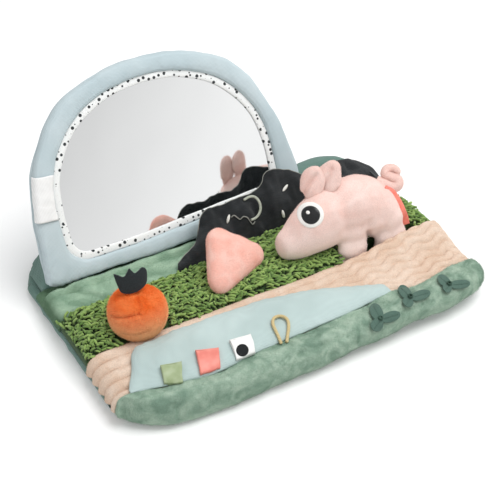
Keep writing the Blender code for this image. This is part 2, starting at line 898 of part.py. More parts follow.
def make_carrot():
    mesh = bmesh.new()
    rings = [turned_ring(carrot_radius * across, carrot_z + carrot_half_height * up, 24)
             for across, up in carrot_section_shares]
    bottom = (carrot_x, carrot_y, carrot_z - carrot_half_height)
    dimple = (carrot_x, carrot_y, carrot_z + 0.9 * carrot_half_height)
    skin(mesh, rings, bottom, dimple)
    add_object("carrot_body", mesh, carrot_orange, carrot_holder)


def make_carrot_nest():
    """A round hollow with the ball's shape below and straight walls above, cut with clearance."""
    mesh = bmesh.new()
    grow = carrot_clearance
    rings = []
    for across, up in carrot_section_shares:
        if up > 0:
            continue
        z = carrot_z + (carrot_half_height + grow) * up
        rings.append(turned_ring(carrot_radius * across + grow, z, 24))
    high = carrot_z + carrot_half_height
    rings.append(turned_ring(carrot_radius + grow, high, 24))
    skin(mesh, rings, (carrot_x, carrot_y, carrot_z - carrot_half_height - grow), None)
    nest = add_object("carrot_nest_cutter", mesh, wadding_white)
    cut(grass_strip, nest)
    cut(ribbed_path, nest)
    cut(bpy.data.objects["stream_panel"], nest)


def make_carrot_leaves():
    """A felt crown with three points, standing across the top of the ball."""
    mesh = bmesh.new()
    outline_shares = [
        (-0.30, 0), (0.30, 0), (0.42, 0.45), (0.36, 0.92), (0.14, 0.72), (-0.06, 1.0), (-0.18, 0.66), (-0.5, 0.72),
        (-0.42, 0.36),
    ]
    turn = math.radians(-14)
    foot_z = carrot_z + carrot_half_height * carrot_section_shares[-1][1] + gap
    rings = []
    for side in (-0.5, 0.5):
        ring = []
        for across, up in outline_shares:
            x = across * leaf_width
            y = side * leaf_thickness - 0.25 * up * leaf_height
            ring.append((carrot_x + x * math.cos(turn) - y * math.sin(turn),
                         carrot_y + x * math.sin(turn) + y * math.cos(turn), foot_z + up * leaf_height))
        rings.append(ring)
    skin(mesh, rings, None, None)
    add_object("carrot_leaves", mesh, leaf_felt, carrot_holder)


make_carrot()
make_carrot_nest()
make_carrot_leaves()


def pillow(mesh, outline, half_thickness, frame, ring_shares):
    """A stuffed flat shape round an outline that is star-shaped about its own centre."""
    rings = []
    for scale, level in ring_shares:
        rings.append([frame @ Vector((u * scale, v * scale, half_thickness * level)) for u, v in outline])
    top = frame @ Vector((0, 0, half_thickness))
    bottom = frame @ Vector((0, 0, -half_thickness))
    back = []
    for scale, level in reversed(ring_shares):
        back.append([frame @ Vector((u * scale, v * scale, -half_thickness * level)) for u, v in outline])
    skin(mesh, back + rings if ring_shares[0][0] > ring_shares[-1][0] else rings + back, bottom, top)


cushion_ring_shares = [(1.0, 0.10), (0.97, 0.38), (0.86, 0.72), (0.62, 0.95), (0.3, 1.0)]
felt_ring_shares = [(1.0, 0.7), (0.9, 1.0)]

# Triangle cushion, hinged on the line where its lower edge meets the grass
salmon_plush = cloth("salmon_plush", (0.90, 0.45, 0.34))


triangle_corner_shares = [(0.82, -0.5), (-0.38, 0.93), (-1.53, -0.46)]
triangle_middle_shares = (-0.36, -0.01)


def rounded_triangle(corners, radius):
    """A rounded outline round three corner centres, which run the left-hand way."""
    points = []
    for index, corner in enumerate(corners):
        before = corner - corners[index - 1]
        after = corners[(index + 1) % 3] - corner
        start = math.atan2(-before.x, before.y)
        end = math.atan2(-after.x, after.y)
        if end < start:
            end += 2 * math.pi
        for turn in spread(start, end, 7):
            points.append((corner.x + radius * math.cos(turn), corner.y + radius * math.sin(turn)))
    return points


triangle_z = pile_top + triangle_lift
triangle_holder = add_holder("triangle_edge_line", (triangle_x, triangle_y, triangle_z))


def triangle_frame(middle):
    """The cushion's own plane, leaning back from its lower edge, centred on its middle."""
    along = Vector((math.cos(triangle_turn), math.sin(triangle_turn), 0))
    flat_back = Vector((-math.sin(triangle_turn), math.cos(triangle_turn), 0))
    up = flat_back * math.sin(triangle_lean) + Vector((0, 0, math.cos(triangle_lean)))
    front = along.cross(up)
    rise = triangle_arm / 2 + triangle_corner + middle.y
    centre = Vector((triangle_x, triangle_y, triangle_z)) + up * rise + along * middle.x
    return Matrix.Translation(centre) @ Matrix((along, up, front)).transposed().to_4x4()


def make_triangle():
    mesh = bmesh.new()
    middle = Vector(triangle_middle_shares) * triangle_arm
    corners = [Vector(share) * triangle_arm - middle for share in triangle_corner_shares]
    outline = rounded_triangle(corners, triangle_corner)
    pillow(mesh, outline, triangle_half_thickness, triangle_frame(middle), cushion_ring_shares)
    add_object("triangle_cushion", mesh, salmon_plush, triangle_holder)


make_triangle()

# Pig
pig_plush = cloth("pale_pink_plush", (0.88, 0.62, 0.55))
eye_white = cloth("eye_white_felt", (0.92, 0.92, 0.90))
eye_black = cloth("eye_black_felt", (0.01, 0.01, 0.01), 0.4)
coral_satin = cloth("coral_satin", (0.90, 0.16, 0.12), 0.35)
pig_floor_z = pile_top + pig_lift
pig_holder = add_holder("pig_pull_line", (front_leg_x, leg_y, pocket_floor_z))

# Each section: share along the pig, its bottom and top as shares of its height, and its thickness share
head_shares = [
    (0.006, 0.135, 0.36, 0.40), (0.022, 0.085, 0.43, 0.54), (0.062, 0.04, 0.51, 0.65), (0.123, 0.01, 0.67, 0.80),
    (0.198, 0.0, 0.835, 0.92), (0.284, 0, 0.935, 0.98), (0.37, 0.01, 0.96, 0.98), (0.444, 0.05, 0.935, 0.84),
    (0.488, 0.16, 0.82, 0.5),
]
head_pole_shares = ((0.0, 0.25), (0.512, 0.485))
body_shares = [
    (0.352, 0.36, 0.735, 0.40), (0.389, 0.16, 0.90, 0.70), (0.457, 0.06, 0.97, 0.90), (0.549, 0.025, 1.0, 0.98),
    (0.654, 0.01, 0.97, 1.0), (0.753, 0.01, 0.87, 0.98), (0.84, 0.012, 0.735, 0.92), (0.914, 0.025, 0.55, 0.78),
    (0.963, 0.06, 0.36, 0.55),
]
body_pole_shares = ((0.333, 0.535), (0.994, 0.185))


def pig_x(share):
    return pig_nose_x + pig_length * share


def pig_z(share):
    return pig_floor_z + pig_height * share


def stuffed(name, sections, poles, grow, sides=18):
    """A swelling, tapering stuffed shape along the pig, drawn out by grow when it serves as a cutter."""
    mesh = bmesh.new()
    rings = []
    for along, low, high, thick in sections:
        middle = (pig_z(low) + pig_z(high)) / 2
        half_height = (pig_z(high) - pig_z(low)) / 2 + grow
        half_depth = pig_half_thickness * thick + grow
        ring = []
        for index in range(sides):
            turn = 2 * math.pi * index / sides
            ring.append((pig_x(along), pig_middle_y + half_depth * math.cos(turn),
                         middle + half_height * math.sin(turn)))
        rings.append(ring)
    first = (pig_x(poles[0][0]) - grow, pig_middle_y, pig_z(poles[0][1]))
    last = (pig_x(poles[1][0]) + grow, pig_middle_y, pig_z(poles[1][1]))
    skin(mesh, rings, first, last)
    return add_object(name, mesh, pig_plush, pig_holder)


stuffed("pig_body", body_shares, body_pole_shares, 0)
pig_head = stuffed("pig_head", head_shares, head_pole_shares, 0)
body_cutter = stuffed("pig_body_cutter", body_shares, body_pole_shares, gap)
head_cutter = stuffed("pig_head_cutter", head_shares, head_pole_shares, gap)
cut(pig_head, body_cutter)

leg_section_shares = [(0, 0.62, 0.60), (0.06, 0.86, 0.85), (0.18, 1.0, 1.0), (0.55, 1.02, 1.0), (0.85, 0.85, 0.9)]
leg_height = 0.042


def make_leg(name, x, half_width):
    """A stubby leg from the pig's side down into the pocket."""
    mesh = bmesh.new()
    foot_z = pocket_floor_z + leg_lift
    rings = []
    for up, wide, deep in leg_section_shares:
        middle_y = leg_y + (pig_middle_y - leg_y) * 0.25 * ease(up, 0.5, 1)
        ring = []
        for index in range(16):
            turn = 2 * math.pi * index / 16
            ring.append((x + half_width * wide * math.cos(turn),
                         middle_y + leg_half_depth * deep * math.sin(turn), foot_z + leg_height * up))
        rings.append(ring)
    top = (x, leg_y + (pig_middle_y - leg_y) * 0.3, foot_z + leg_height)
    skin(mesh, rings, None, top)
    leg = add_object(name, mesh, pig_plush, pig_holder)
    cut(leg, body_cutter)
    if pig_x(head_pole_shares[1][0]) > x - half_width:
        cut(leg, head_cutter)


make_leg("pig_front_leg", front_leg_x, front_leg_half_width)
make_leg("pig_rear_leg", rear_leg_x, rear_leg_half_width)

ear_outline_shares = [
    (0.0, -0.5), (0.26, -0.48), (0.44, -0.30), (0.50, -0.05), (0.42, 0.20), (0.25, 0.40), (0.06, 0.50),
    (-0.10, 0.47), (-0.30, 0.30), (-0.45, 0.05), (-0.50, -0.18), (-0.42, -0.38), (-0.26, -0.48),
]


def aim(origin, out, up):
    """A frame at origin whose third axis points out and whose second leans towards up."""
    third = Vector(out).normalized()
    first = Vector(up).cross(third).normalized()
    second = third.cross(first)
    return Matrix.Translation(origin) @ Matrix((first, second, third)).transposed().to_4x4()


def make_ear(name, along, aside, height_share, size, out, up):
    """A soft ear, whose foot is cut to the head's shape."""
    mesh = bmesh.new()
    middle = Vector((pig_x(along), pig_middle_y + pig_half_thickness * aside, pig_z(height_share)))
    width, height, half_thickness = size
    outline = [(u * width, v * height) for u, v in ear_outline_shares]
    pillow(mesh, outline, half_thickness, aim(middle, out, up), cushion_ring_shares[:4])
    ear = add_object(name, mesh, pig_plush, pig_holder)
    cut(ear, head_cutter)
    cut(ear, body_cutter)


near_ear_size = (0.026, 0.044, 0.0042)
far_ear_size = (0.034, 0.036, 0.0042)
make_ear("pig_near_ear", 0.385, -0.42, 1.14, near_ear_size, (-0.62, -0.70, 0.2), (0.0, 0.25, 1.0))
make_ear("pig_far_ear", 0.345, 0.50, 1.04, far_ear_size, (-0.50, -0.80, 0.3), (0.55, 0.10, 1.0))

tail_curl_radius = 0.0090
tail_radius = 0.0062
tail_along_share = 0.945
tail_height_share = 0.60
tail_drift = 0.010


def make_tail():
    """A curled tube that starts on the rump and turns most of the way round."""
    mesh = bmesh.new()
    centre = Vector((pig_x(tail_along_share), pig_middle_y + 0.5 * pig_half_thickness, pig_z(tail_height_share)))
    rings = []
    angles = spread(-105, 200, 14)
    for angle in angles:
        turn = math.radians(angle)
        passed = (angle - angles[0]) / (angles[-1] - angles[0])
        out = Vector((math.cos(turn), 0, math.sin(turn)))
        middle = centre + out * tail_curl_radius + Vector((0, tail_drift * (passed - 0.5), 0))
        thick = tail_radius * (1.05 - 0.25 * passed)
        ring = []
        for index in range(10):
            around = 2 * math.pi * index / 10
            ring.append(middle + out * thick * math.cos(around) + Vector((0, thick * math.sin(around), 0)))
        rings.append(ring)
    skin(mesh, rings, None, None)
    tail = add_object("pig_tail", mesh, pig_plush, pig_holder)
    cut(tail, body_cutter)


make_tail()

eye_along_share = 0.200
eye_aside_share = 0.62
eye_height_share = 0.762
eye_ring_radius = 0.0130
eye_disc_radius = 0.0090
eye_ring_offset = 0.0018
eye_ring_thickness = 0.0014
eye_disc_thickness = 0.0020
eye_reach = 0.012
eye_out = Vector((-0.34, 0.78, 0.52))


def eye_round(name, side, radius, shift, material):
    """A short round bar through the head's skin. Side is -1 near the camera and 1 on the far side."""
    mesh = bmesh.new()
    place = Vector((
        pig_x(eye_along_share) + shift,
        pig_middle_y + side * pig_half_thickness * eye_aside_share,
        pig_z(eye_height_share),
    ))
    frame = aim(place, (eye_out.x, side * eye_out.y, eye_out.z), (0, 0, 1))
    rings = []
    for level in (-eye_reach / 2, eye_reach):
        ring = []
        for index in range(20):
            turn = 2 * math.pi * index / 20
            ring.append(frame @ Vector((radius * math.cos(turn), radius * math.sin(turn), level)))
        rings.append(ring)
    skin(mesh, rings, None, None)
    return add_object(name, mesh, material, pig_holder)


def keep_inside(piece, shape):
    """Keeps only what lies inside a hidden solid."""
    shape.hide_render = True
    shape.display_type = "WIRE"
    modifier = piece.modifiers.new("keep_" + shape.name, "BOOLEAN")
    modifier.operation = "INTERSECT"
    modifier.solver = "EXACT"
    modifier.object = shape


ring_skin = stuffed("eye_ring_skin_cutter", head_shares, head_pole_shares, gap + eye_ring_thickness)
disc_skin = stuffed("eye_disc_skin_cutter", head_shares, head_pole_shares, gap + eye_disc_thickness)


def make_eye(word, side):
    """A white felt round with a black one let into it, both laid on the head."""
    white = eye_round(f"pig_{word}_eye_white", side, eye_ring_radius, eye_ring_offset, eye_white)
    keep_inside(white, ring_skin)
    cut(white, head_cutter)
    cut(white, eye_round(f"pig_{word}_eye_cutter", side, eye_disc_radius + gap, 0, eye_black))
    black = eye_round(f"pig_{word}_eye_black", side, eye_disc_radius, 0, eye_black)
    keep_inside(black, disc_skin)
    cut(black, head_cutter)


make_eye("near", -1)
make_eye("far", 1)

ribbon_width = 0.0105
ribbon_thickness = 0.0012
ribbon_lift = 0.0004
ribbon_route_shares = [
    (0.955, -0.10, 0.41), (0.970, -0.22, 0.33), (0.979, -0.38, 0.245), (0.980, -0.56, 0.14),
    (0.9795, -0.72, 0.04), (0.9795, -0.80, -0.08), (0.9795, -0.84, -0.21),
]


def make_ribbon():
    """Satin ribbon from the tail over the rump and down into the pocket."""
    mesh = bmesh.new()
    route = [Vector((pig_x(along), pig_middle_y + pig_half_thickness * aside, pig_z(up)))
             for along, aside, up in ribbon_route_shares]
    route = catmull(route, ribbon_width * 0.6)
    heart = Vector((pig_x(0.75), pig_middle_y, pig_z(0.3)))
    rings = []
    for index, place in enumerate(route):
        forward = (route[min(index + 1, len(route) - 1)] - route[max(index - 1, 0)]).normalized()
        out = place - heart
        out.z = max(out.z, 0)
        out = (out - forward * out.dot(forward)).normalized()
        across = forward.cross(out).normalized() * ribbon_width / 2
        middle = place + out * ribbon_lift
        rise = out * ribbon_thickness / 2
        rings.append([middle - across - rise, middle + across - rise, middle + across + rise, middle - across + rise])
    skin(mesh, rings, None, None)
    ribbon = add_object("pig_ribbon", mesh, coral_satin, pig_holder)
    cut(ribbon, body_cutter)


make_ribbon()

# Ribbon tabs, folded double and sewn into the seam in front of the mint panel
tab_materials = {
    "green": cloth("green_ribbon", (0.40, 0.52, 0.29), 0.6),
    "coral": cloth("coral_ribbon", (0.90, 0.22, 0.15), 0.5),
    "white": cloth("white_ribbon", (0.90, 0.90, 0.88), 0.6),
}
tab_steps = [("green", 0.0430), ("coral", 0.0820), ("white", 0.1220)]
tab_places = [(colour, stream_left_x + step) for colour, step in tab_steps]


def tab_seat(x):
    """Height and slope of the lowest flat seat for a tab on the mint panel's crown."""
    ys = spread(tab_seam_y + 2 * stream_seam_clearance, tab_seam_y + tab_length, 8)
    sides = (x - tab_width / 2, x, x + tab_width / 2)
    slope = (stream_top(x, ys[-1]) - stream_top(x, ys[1])) / (ys[-1] - ys[1]) * 0.6
    height = max(stream_top(side, y) - slope * (y - tab_seam_y) for side in sides for y in ys)
    return height + trim_lift, math.atan(slope)


def make_tab(colour, x):
    mesh = bmesh.new()
    height, slope = tab_seat(x)
    holder = add_holder(f"{colour}_tab_seam_line", (x, tab_seam_y, height), (slope, 0, 0))
    bend = tab_layer + tab_slot / 2
    section = [(0, 0), (tab_length - bend, 0)]
    for angle in spread(-60, 60, 4):
        turn = math.radians(angle)
        section.append((tab_length - bend + bend * math.cos(turn), bend + bend * math.sin(turn)))
    section += [(tab_length - bend, 2 * bend), (0, 2 * bend), (0, bend + tab_slot / 2)]
    for angle in spread(60, -60, 3):
        turn = math.radians(angle)
        inner = tab_slot / 2
        section.append((tab_length - bend + inner * math.cos(turn), bend + inner * math.sin(turn)))
    section.append((0, bend - tab_slot / 2))
    rings = [[(side, y, z) for y, z in section] for side in (-tab_width / 2, tab_width / 2)]
    skin(mesh, rings, None, None)
    mesh.transform(Matrix.Rotation(tab_turn, 4, "Z"))
    add_object(f"{colour}_tab", mesh, tab_materials[colour], holder, local=True)
    return holder


for tab_colour, tab_x in tab_places:
    make_tab(tab_colour, tab_x)

# String loop, both ends sewn into the same seam
string_beige = cloth("beige_string", (0.52, 0.42, 0.22))
string_step = 0.1550
string_x = stream_left_x + string_step
string_y = -0.1450
string_rise = 0.0035


def string_route():
    """A teardrop that lies on the mint panel, its points chosen by hand as steps from its foot."""
    steps = [
        (-0.0020, 0.0), (-0.0015, 0.0060), (0.0010, 0.0150), (0.0055, 0.0240), (0.0120, 0.0325), (0.0195, 0.0365),
        (0.0255, 0.0335), (0.0265, 0.0260), (0.0225, 0.0185), (0.0150, 0.0115), (0.0075, 0.0055), (0.0030, 0.0),
    ]
    route = []
    for across, back in steps:
        x = string_x + across
        y = string_y + back
        route.append((x, y, stream_top(x, y) + string_diameter / 2 + trim_lift + string_rise * back / 0.0365))
    return route


string_points = string_route()
string_holder = add_holder("string_seam_line", (string_x, string_y, string_points[0][2]))
make_cord("string_loop", string_points, string_diameter, string_beige, string_holder)

# Felt sprouts sewn to the front roll at their knots
sprout_felt = cloth("sprout_felt", (0.095, 0.17, 0.13))
sprout_places = [(0.0665, -0.1635), (0.111, -0.1580), (0.1625, -0.1570)]
sprout_turns = [math.radians(90), math.radians(104), math.radians(92)]


def roll_normal(x, y):
    reach = knot_radius
    slope_x = (roll_height(x + reach, y) - roll_height(x - reach, y)) / (2 * reach)
    slope_y = (roll_height(x, y + reach) - roll_height(x, y - reach)) / (2 * reach)
    return Vector((-slope_x, -slope_y, 1)).normalized()


def make_sprout(number, place, turn):
    x, y = place
    out = roll_normal(x, y)
    foot = Vector((x, y, roll_height(x, y))) + out * trim_lift
    holder = add_holder(f"sprout_{number}_stitch_line", foot)
    frame = aim(foot + out * (sprout_thickness / 2), out, (0, 1, 0))
    outline = []
    for index in range(30):
        angle = 2 * math.pi * index / 30
        reach = leaf_lobe * (0.62 + 0.38 * math.cos(3 * (angle - turn)))
        outline.append((reach * math.cos(angle), reach * math.sin(angle)))
    mesh = bmesh.new()
    pillow(mesh, outline, sprout_thickness / 2, frame, felt_ring_shares)
    add_object(f"sprout_{number}_leaf", mesh, sprout_felt, holder)
    mesh = bmesh.new()
    knot_frame = aim(foot + out * (sprout_thickness + trim_lift), out, (0, 1, 0))
    rings = []
    for scale, level in ((0.8, 0.0), (1.0, 0.35), (0.75, 0.8)):
        ring = []
        for index in range(10):
            angle = 2 * math.pi * index / 10
            ring.append(knot_frame @ Vector((knot_radius * scale * math.cos(angle),
                                             knot_radius * scale * math.sin(angle), knot_radius * level)))
        rings.append(ring)
    skin(mesh, rings, None, knot_frame @ Vector((0, 0, knot_radius * 0.9)))
    add_object(f"sprout_{number}_knot", mesh, sprout_felt, holder)


for sprout_number, (sprout_place, sprout_turn) in enumerate(zip(sprout_places, sprout_turns), start=1):
    make_sprout(sprout_number, sprout_place, sprout_turn)
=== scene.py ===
# %% [markdown]
# A tummy-time mat for a baby: padded strips, a mirror that leans on a canvas hill, and plush
# toys in pockets. The solid model gives places and sizes; this script sews the cloth over it.

import math

import bmesh
import bpy
import numpy as np
from mathutils import Matrix, Vector
from mathutils.bvhtree import BVHTree
from mathutils.kdtree import KDTree


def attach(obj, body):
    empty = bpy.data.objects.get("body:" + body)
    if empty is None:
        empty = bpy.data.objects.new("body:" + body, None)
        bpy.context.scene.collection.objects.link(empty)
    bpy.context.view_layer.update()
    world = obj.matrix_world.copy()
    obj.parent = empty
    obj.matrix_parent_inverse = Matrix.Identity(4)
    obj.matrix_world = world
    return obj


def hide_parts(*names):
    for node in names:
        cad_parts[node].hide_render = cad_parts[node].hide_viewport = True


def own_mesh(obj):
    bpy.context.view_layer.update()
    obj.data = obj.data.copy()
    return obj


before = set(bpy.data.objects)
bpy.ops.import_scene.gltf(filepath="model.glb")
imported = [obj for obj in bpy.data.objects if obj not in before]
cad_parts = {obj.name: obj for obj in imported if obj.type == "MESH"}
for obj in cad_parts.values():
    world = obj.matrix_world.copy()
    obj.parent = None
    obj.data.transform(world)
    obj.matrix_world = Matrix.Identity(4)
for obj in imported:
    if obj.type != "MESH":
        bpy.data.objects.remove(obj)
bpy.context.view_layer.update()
scene = bpy.context.scene

# %% [markdown]
# The camera stands to the left of the mat and above it. The picture is 500 pixels square and
# a pixel covers about a millimetre of cloth, so pixels can say where a line on a piece runs.

# %% Camera
MM = 0.001
picture_side = 500
view_turn = -0.521776
view_rise = 0.657616
focal_pixels = 1338.08
camera_place = Vector((-0.575774, -1.014706, 0.944918))
sensor_width = 36.0
first_look = 1.1
look_step = 2 * MM
look_count = 400

camera_back = Vector((
    math.sin(view_turn) * math.cos(view_rise),
    -math.cos(view_turn) * math.cos(view_rise),
    math.sin(view_rise),
))
camera_right = Vector((math.cos(view_turn), math.sin(view_turn), 0))
camera_up = camera_back.cross(camera_right)
to_camera = np.array(camera_back[:])


def aimed(name, data, place, direction):
    """A camera or lamp that looks in a direction."""
    made = bpy.data.objects.new(name, data)
    made.location = place
    made.rotation_mode = "QUATERNION"
    made.rotation_quaternion = direction.to_track_quat("-Z", "Y")
    scene.collection.objects.link(made)
    return made


lens = bpy.data.cameras.new("photo_camera")
lens.sensor_width = sensor_width
lens.lens = focal_pixels / picture_side * sensor_width
lens.clip_start = 0.05
lens.clip_end = 20.0
scene.camera = aimed("photo_camera", lens, camera_place, -camera_back)


def ray_through(pixel):
    """The direction in which the camera sees a pixel."""
    aside = (pixel[0] - picture_side / 2) / focal_pixels
    down = (pixel[1] - picture_side / 2) / focal_pixels
    return (camera_right * aside - camera_up * down - camera_back).normalized()


def seen_at(pixel, surface):
    """The place on a surface that a pixel shows. Past its outline, the nearest place is taken."""
    ray = ray_through(pixel)
    place, normal, _, _ = surface.ray_cast(camera_place, ray)
    if place is not None:
        return np.array(place[:]), np.array(normal[:])
    steps = [camera_place + ray * (first_look + look_step * step) for step in range(look_count)]
    found = [surface.find_nearest(step) for step in steps]
    best = min(range(look_count), key=lambda index: found[index][3])
    return np.array(steps[best][:]), np.array(found[best][1][:])


def seen_on_plane(pixel, place, normal):
    """The point of a plane that a pixel shows."""
    ray = ray_through(pixel)
    normal = Vector(normal)
    return np.array((camera_place + ray * ((Vector(place) - camera_place).dot(normal) / ray.dot(normal)))[:])


def dropped(surface, place, height):
    """The height of a surface straight under a place, looking down from a height, or None."""
    found, _, _, _ = surface.ray_cast(Vector((place[0], place[1], height)), Vector((0, 0, -1)))
    return None if found is None else found.z


# %% [markdown]
# A piece of cloth is worked on as a list of points. The unevenness of hand-sewn cloth comes
# from a few long waves in chosen directions, which give the same result each time.

# %% Shapes as numbers
def curve_through(pairs, at):
    """A smooth curve through sorted pairs of numbers, read at many places."""
    xs, ys = np.array(pairs, float).T
    at = np.clip(at, xs[0], xs[-1])
    wide = np.concatenate([xs[:1], xs, xs[-1:]])
    tall = np.concatenate([ys[:1], ys, ys[-1:]])
    slopes = (tall[2:] - tall[:-2]) / (wide[2:] - wide[:-2])
    index = np.clip(np.searchsorted(xs, at, "right") - 1, 0, len(xs) - 2)
    step = xs[index + 1] - xs[index]
    t = (at - xs[index]) / step
    bend = (t**3 - 2 * t**2 + t) * step * slopes[index] + (t**3 - t**2) * step * slopes[index + 1]
    return (2 * t**3 - 3 * t**2 + 1) * ys[index] + (3 * t**2 - 2 * t**3) * ys[index + 1] + bend


def fade(values, low, high):
    """0 below low, 1 above high, and smooth between."""
    share = np.clip((values - low) / (high - low), 0, 1)
    return share * share * (3 - 2 * share)


def padded_edge(distance, radius):
    """Height share of a padded edge at a distance inside it."""
    t = np.clip(distance / radius, 0, 1)
    return np.sqrt(t * (2 - t))


def ripple(points, size, seed, waves=7):
    """A smooth unevenness between about -1 and 1, whose bumps are about size across."""
    dice = np.random.default_rng(seed)
    total = np.zeros(points.shape[:-1])
    for _ in range(waves):
        direction = dice.normal(size=3)
        direction /= np.linalg.norm(direction)
        length = size * dice.uniform(0.7, 1.5)
        total += np.sin(points @ direction * math.tau / length + dice.uniform(0, math.tau))
    return total / math.sqrt(waves)


def travelled(route):
    """How far along a route each of its points is."""
    return np.concatenate([[0], np.cumsum(np.linalg.norm(np.diff(route, axis=0), axis=1))])


def read_evenly(route, stops):
    """A route's places at some distances along it."""
    along = travelled(route)
    return np.stack([np.interp(stops, along, route[:, axis]) for axis in range(route.shape[1])], 1)


def even_route(points, count, closed=False):
    """Evenly spaced points on a smooth curve through a route's own points."""
    route = np.array([tuple(point) for point in points], float)
    if closed:
        route = np.concatenate([route, route[:1]])
    before = np.concatenate([route[-2:-1] if closed else route[:1], route[:-1]])[:-1]
    after = np.concatenate([route[1:], route[1:2] if closed else route[-1:]])[1:]
    start, end = route[:-1], route[1:]
    pieces = []
    for t in np.linspace(0, 1, 12, endpoint=False):
        bend = (2 * before - 5 * start + 4 * end - after) * t**2
        bend += (3 * start - before - 3 * end + after) * t**3
        pieces.append(0.5 * (2 * start + (end - before) * t + bend))
    fine = np.concatenate([np.stack(pieces, 1).reshape(-1, route.shape[1]), route[-1:]])
    even = read_evenly(fine, np.linspace(0, travelled(fine)[-1], count + 1 if closed else count))
    return even[:-1] if closed else even


# %% Mesh helpers
weld_distance = 0.02 * MM


def read_points(piece, what="co"):
    flat = np.empty(len(piece.data.vertices) * 3, np.float32)
    piece.data.vertices.foreach_get(what, flat)
    return flat.reshape(-1, 3).astype(float)


def put_points(piece, points):
    piece.data.vertices.foreach_set("co", points.astype(np.float32).ravel())
    piece.data.update()


def link(name, mesh):
    piece = bpy.data.objects.new(name, mesh)
    scene.collection.objects.link(piece)
    return piece


def store(piece, name, values):
    """Keeps a number for each point of a piece under a name."""
    stored = piece.data.attributes.new(name, "FLOAT", "POINT")
    stored.data.foreach_set("value", values.astype(np.float32))


def settle(piece):
    """Turns what the modifiers show into the piece's own mesh, and takes them off."""
    mesh = bpy.data.meshes.new_from_object(piece.evaluated_get(bpy.context.evaluated_depsgraph_get()))
    piece.modifiers.clear()
    piece.data = mesh
    return piece


def modify(piece, kind, settings):
    """Applies one modifier."""
    modifier = piece.modifiers.new(kind.lower(), kind)
    for name, value in settings.items():
        setattr(modifier, name, value)
    return settle(piece)


def rub(piece, rounds):
    """Rubs the edges round."""
    modify(piece, "SMOOTH", {"factor": 0.5, "iterations": rounds})


def push_out(piece, amount):
    """Moves each point along its own normal."""
    put_points(piece, read_points(piece) + read_points(piece, "normal") * np.reshape(amount, (-1, 1)))


def crumple(piece, waves, where=1.0, more=0.0):
    """Pushes a skin in and out in waves: each is a height and a size in millimetres, and a seed."""
    points = read_points(piece)
    swing = sum(high * MM * ripple(points, size * MM, seed) for high, size, seed in waves)
    push_out(piece, where * (swing + more))


def from_faces(name, points, faces, thickness=None):
    """A piece from points and faces, turned outwards. A sheet is given its thickness."""
    mesh = bpy.data.meshes.new(name)
    mesh.from_pydata(np.asarray(points, float).reshape(-1, 3).tolist(), [], faces)
    piece = link(name, mesh)
    if thickness:
        modify(piece, "SOLIDIFY", {"thickness": thickness, "offset": 0.0})
    turned = bmesh.new()
    turned.from_mesh(piece.data)
    bmesh.ops.recalc_face_normals(turned, faces=turned.faces)
    turned.to_mesh(piece.data)
    turned.free()
    return piece


def lofted(name, rings, looped=False):
    """Joins a stack of closed rings into a skin. Its ends are closed, or joined to each other."""
    count, sides = np.shape(rings)[:2]
    here = np.arange(count * sides).reshape(count, sides)
    beside = np.roll(here, -1, axis=1)
    faces = np.stack([here, beside, np.roll(beside, -1, 0), np.roll(here, -1, 0)], -1)
    faces = (faces if looped else faces[:-1]).reshape(-1, 4).tolist()
    if not looped:
        faces += [here[0][::-1].tolist(), here[-1].tolist()]
    return from_faces(name, rings, faces)


def cloth_sheet(name, grid, thickness):
    """A thin sheet of cloth through a grid of points, as thick as the cloth is."""
    count, across = np.shape(grid)[:2]
    here = np.arange(count * across).reshape(count, across)
    faces = np.stack([here[:-1, :-1], here[:-1, 1:], here[1:, 1:], here[1:, :-1]], -1).reshape(-1, 4)
    return from_faces(name, grid, faces.tolist(), thickness)


def circle(sides):
    """The cosines and the sines of the even turns round a circle."""
    turns = np.linspace(0, math.tau, sides, endpoint=False)
    return np.cos(turns), np.sin(turns)


def tube_along(name, route, radius, sides=10):
    """A round tube along a route. It stores how far along and how far round each point is."""
    route = np.asarray(route, float)
    ahead = np.gradient(route, axis=0)
    ahead /= np.linalg.norm(ahead, axis=1, keepdims=True)
    side = np.cross(ahead[0], (0.0, 0.0, 1.0)) + np.array((1e-6, 0, 0))
    cosines, sines = circle(sides)
    rings = []
    for place, forward, size in zip(route, ahead, np.broadcast_to(radius, (len(route),))):
        side = side - forward * side.dot(forward)
        side /= np.linalg.norm(side)
        rings.append(place + size * (cosines[:, None] * side + sines[:, None] * np.cross(forward, side)))
    piece = lofted(name, rings)
    store(piece, "along", np.repeat(travelled(route), sides))
    store(piece, "around", np.tile(np.arange(sides) / sides, len(route)))
    return piece


def soft_copy(name, nodes, square, rounds, grow=0.0, lumps=()):
    """One closed skin of small even squares round CAD nodes and added lumps, rubbed round."""
    welded = bmesh.new()
    for node in nodes:
        welded.from_mesh(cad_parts[node].data)
    bmesh.ops.remove_doubles(welded, verts=welded.verts, dist=weld_distance)
    for centre, radii in lumps:
        shape = Matrix.Translation(centre) @ Matrix.Diagonal((*radii, 1))
        bmesh.ops.create_icosphere(welded, subdivisions=3, radius=1, matrix=shape)
    mesh = bpy.data.meshes.new(name)
    welded.to_mesh(mesh)
    welded.free()
    piece = link(name, mesh)
    if grow:
        push_out(piece, np.full(len(mesh.vertices), grow))
    modify(piece, "REMESH", {"mode": "VOXEL", "voxel_size": square})
    rub(piece, rounds)
    return piece


def surface_of(*pieces):
    """A search tree over some pieces, for finding places on them."""
    points, faces = [], []
    for piece in pieces:
        start = len(points)
        points += [vertex.co[:] for vertex in piece.data.vertices]
        faces += [tuple(start + index for index in face.vertices) for face in piece.data.polygons]
    return BVHTree.FromPolygons(points, faces)


def line_on(surface, pixels, count):
    """Places and normals along a line that is drawn on a surface through pixels."""
    places, normals = zip(*[seen_at(pixel, surface) for pixel in even_route(pixels, count)])
    return np.array(places), np.array(normals)


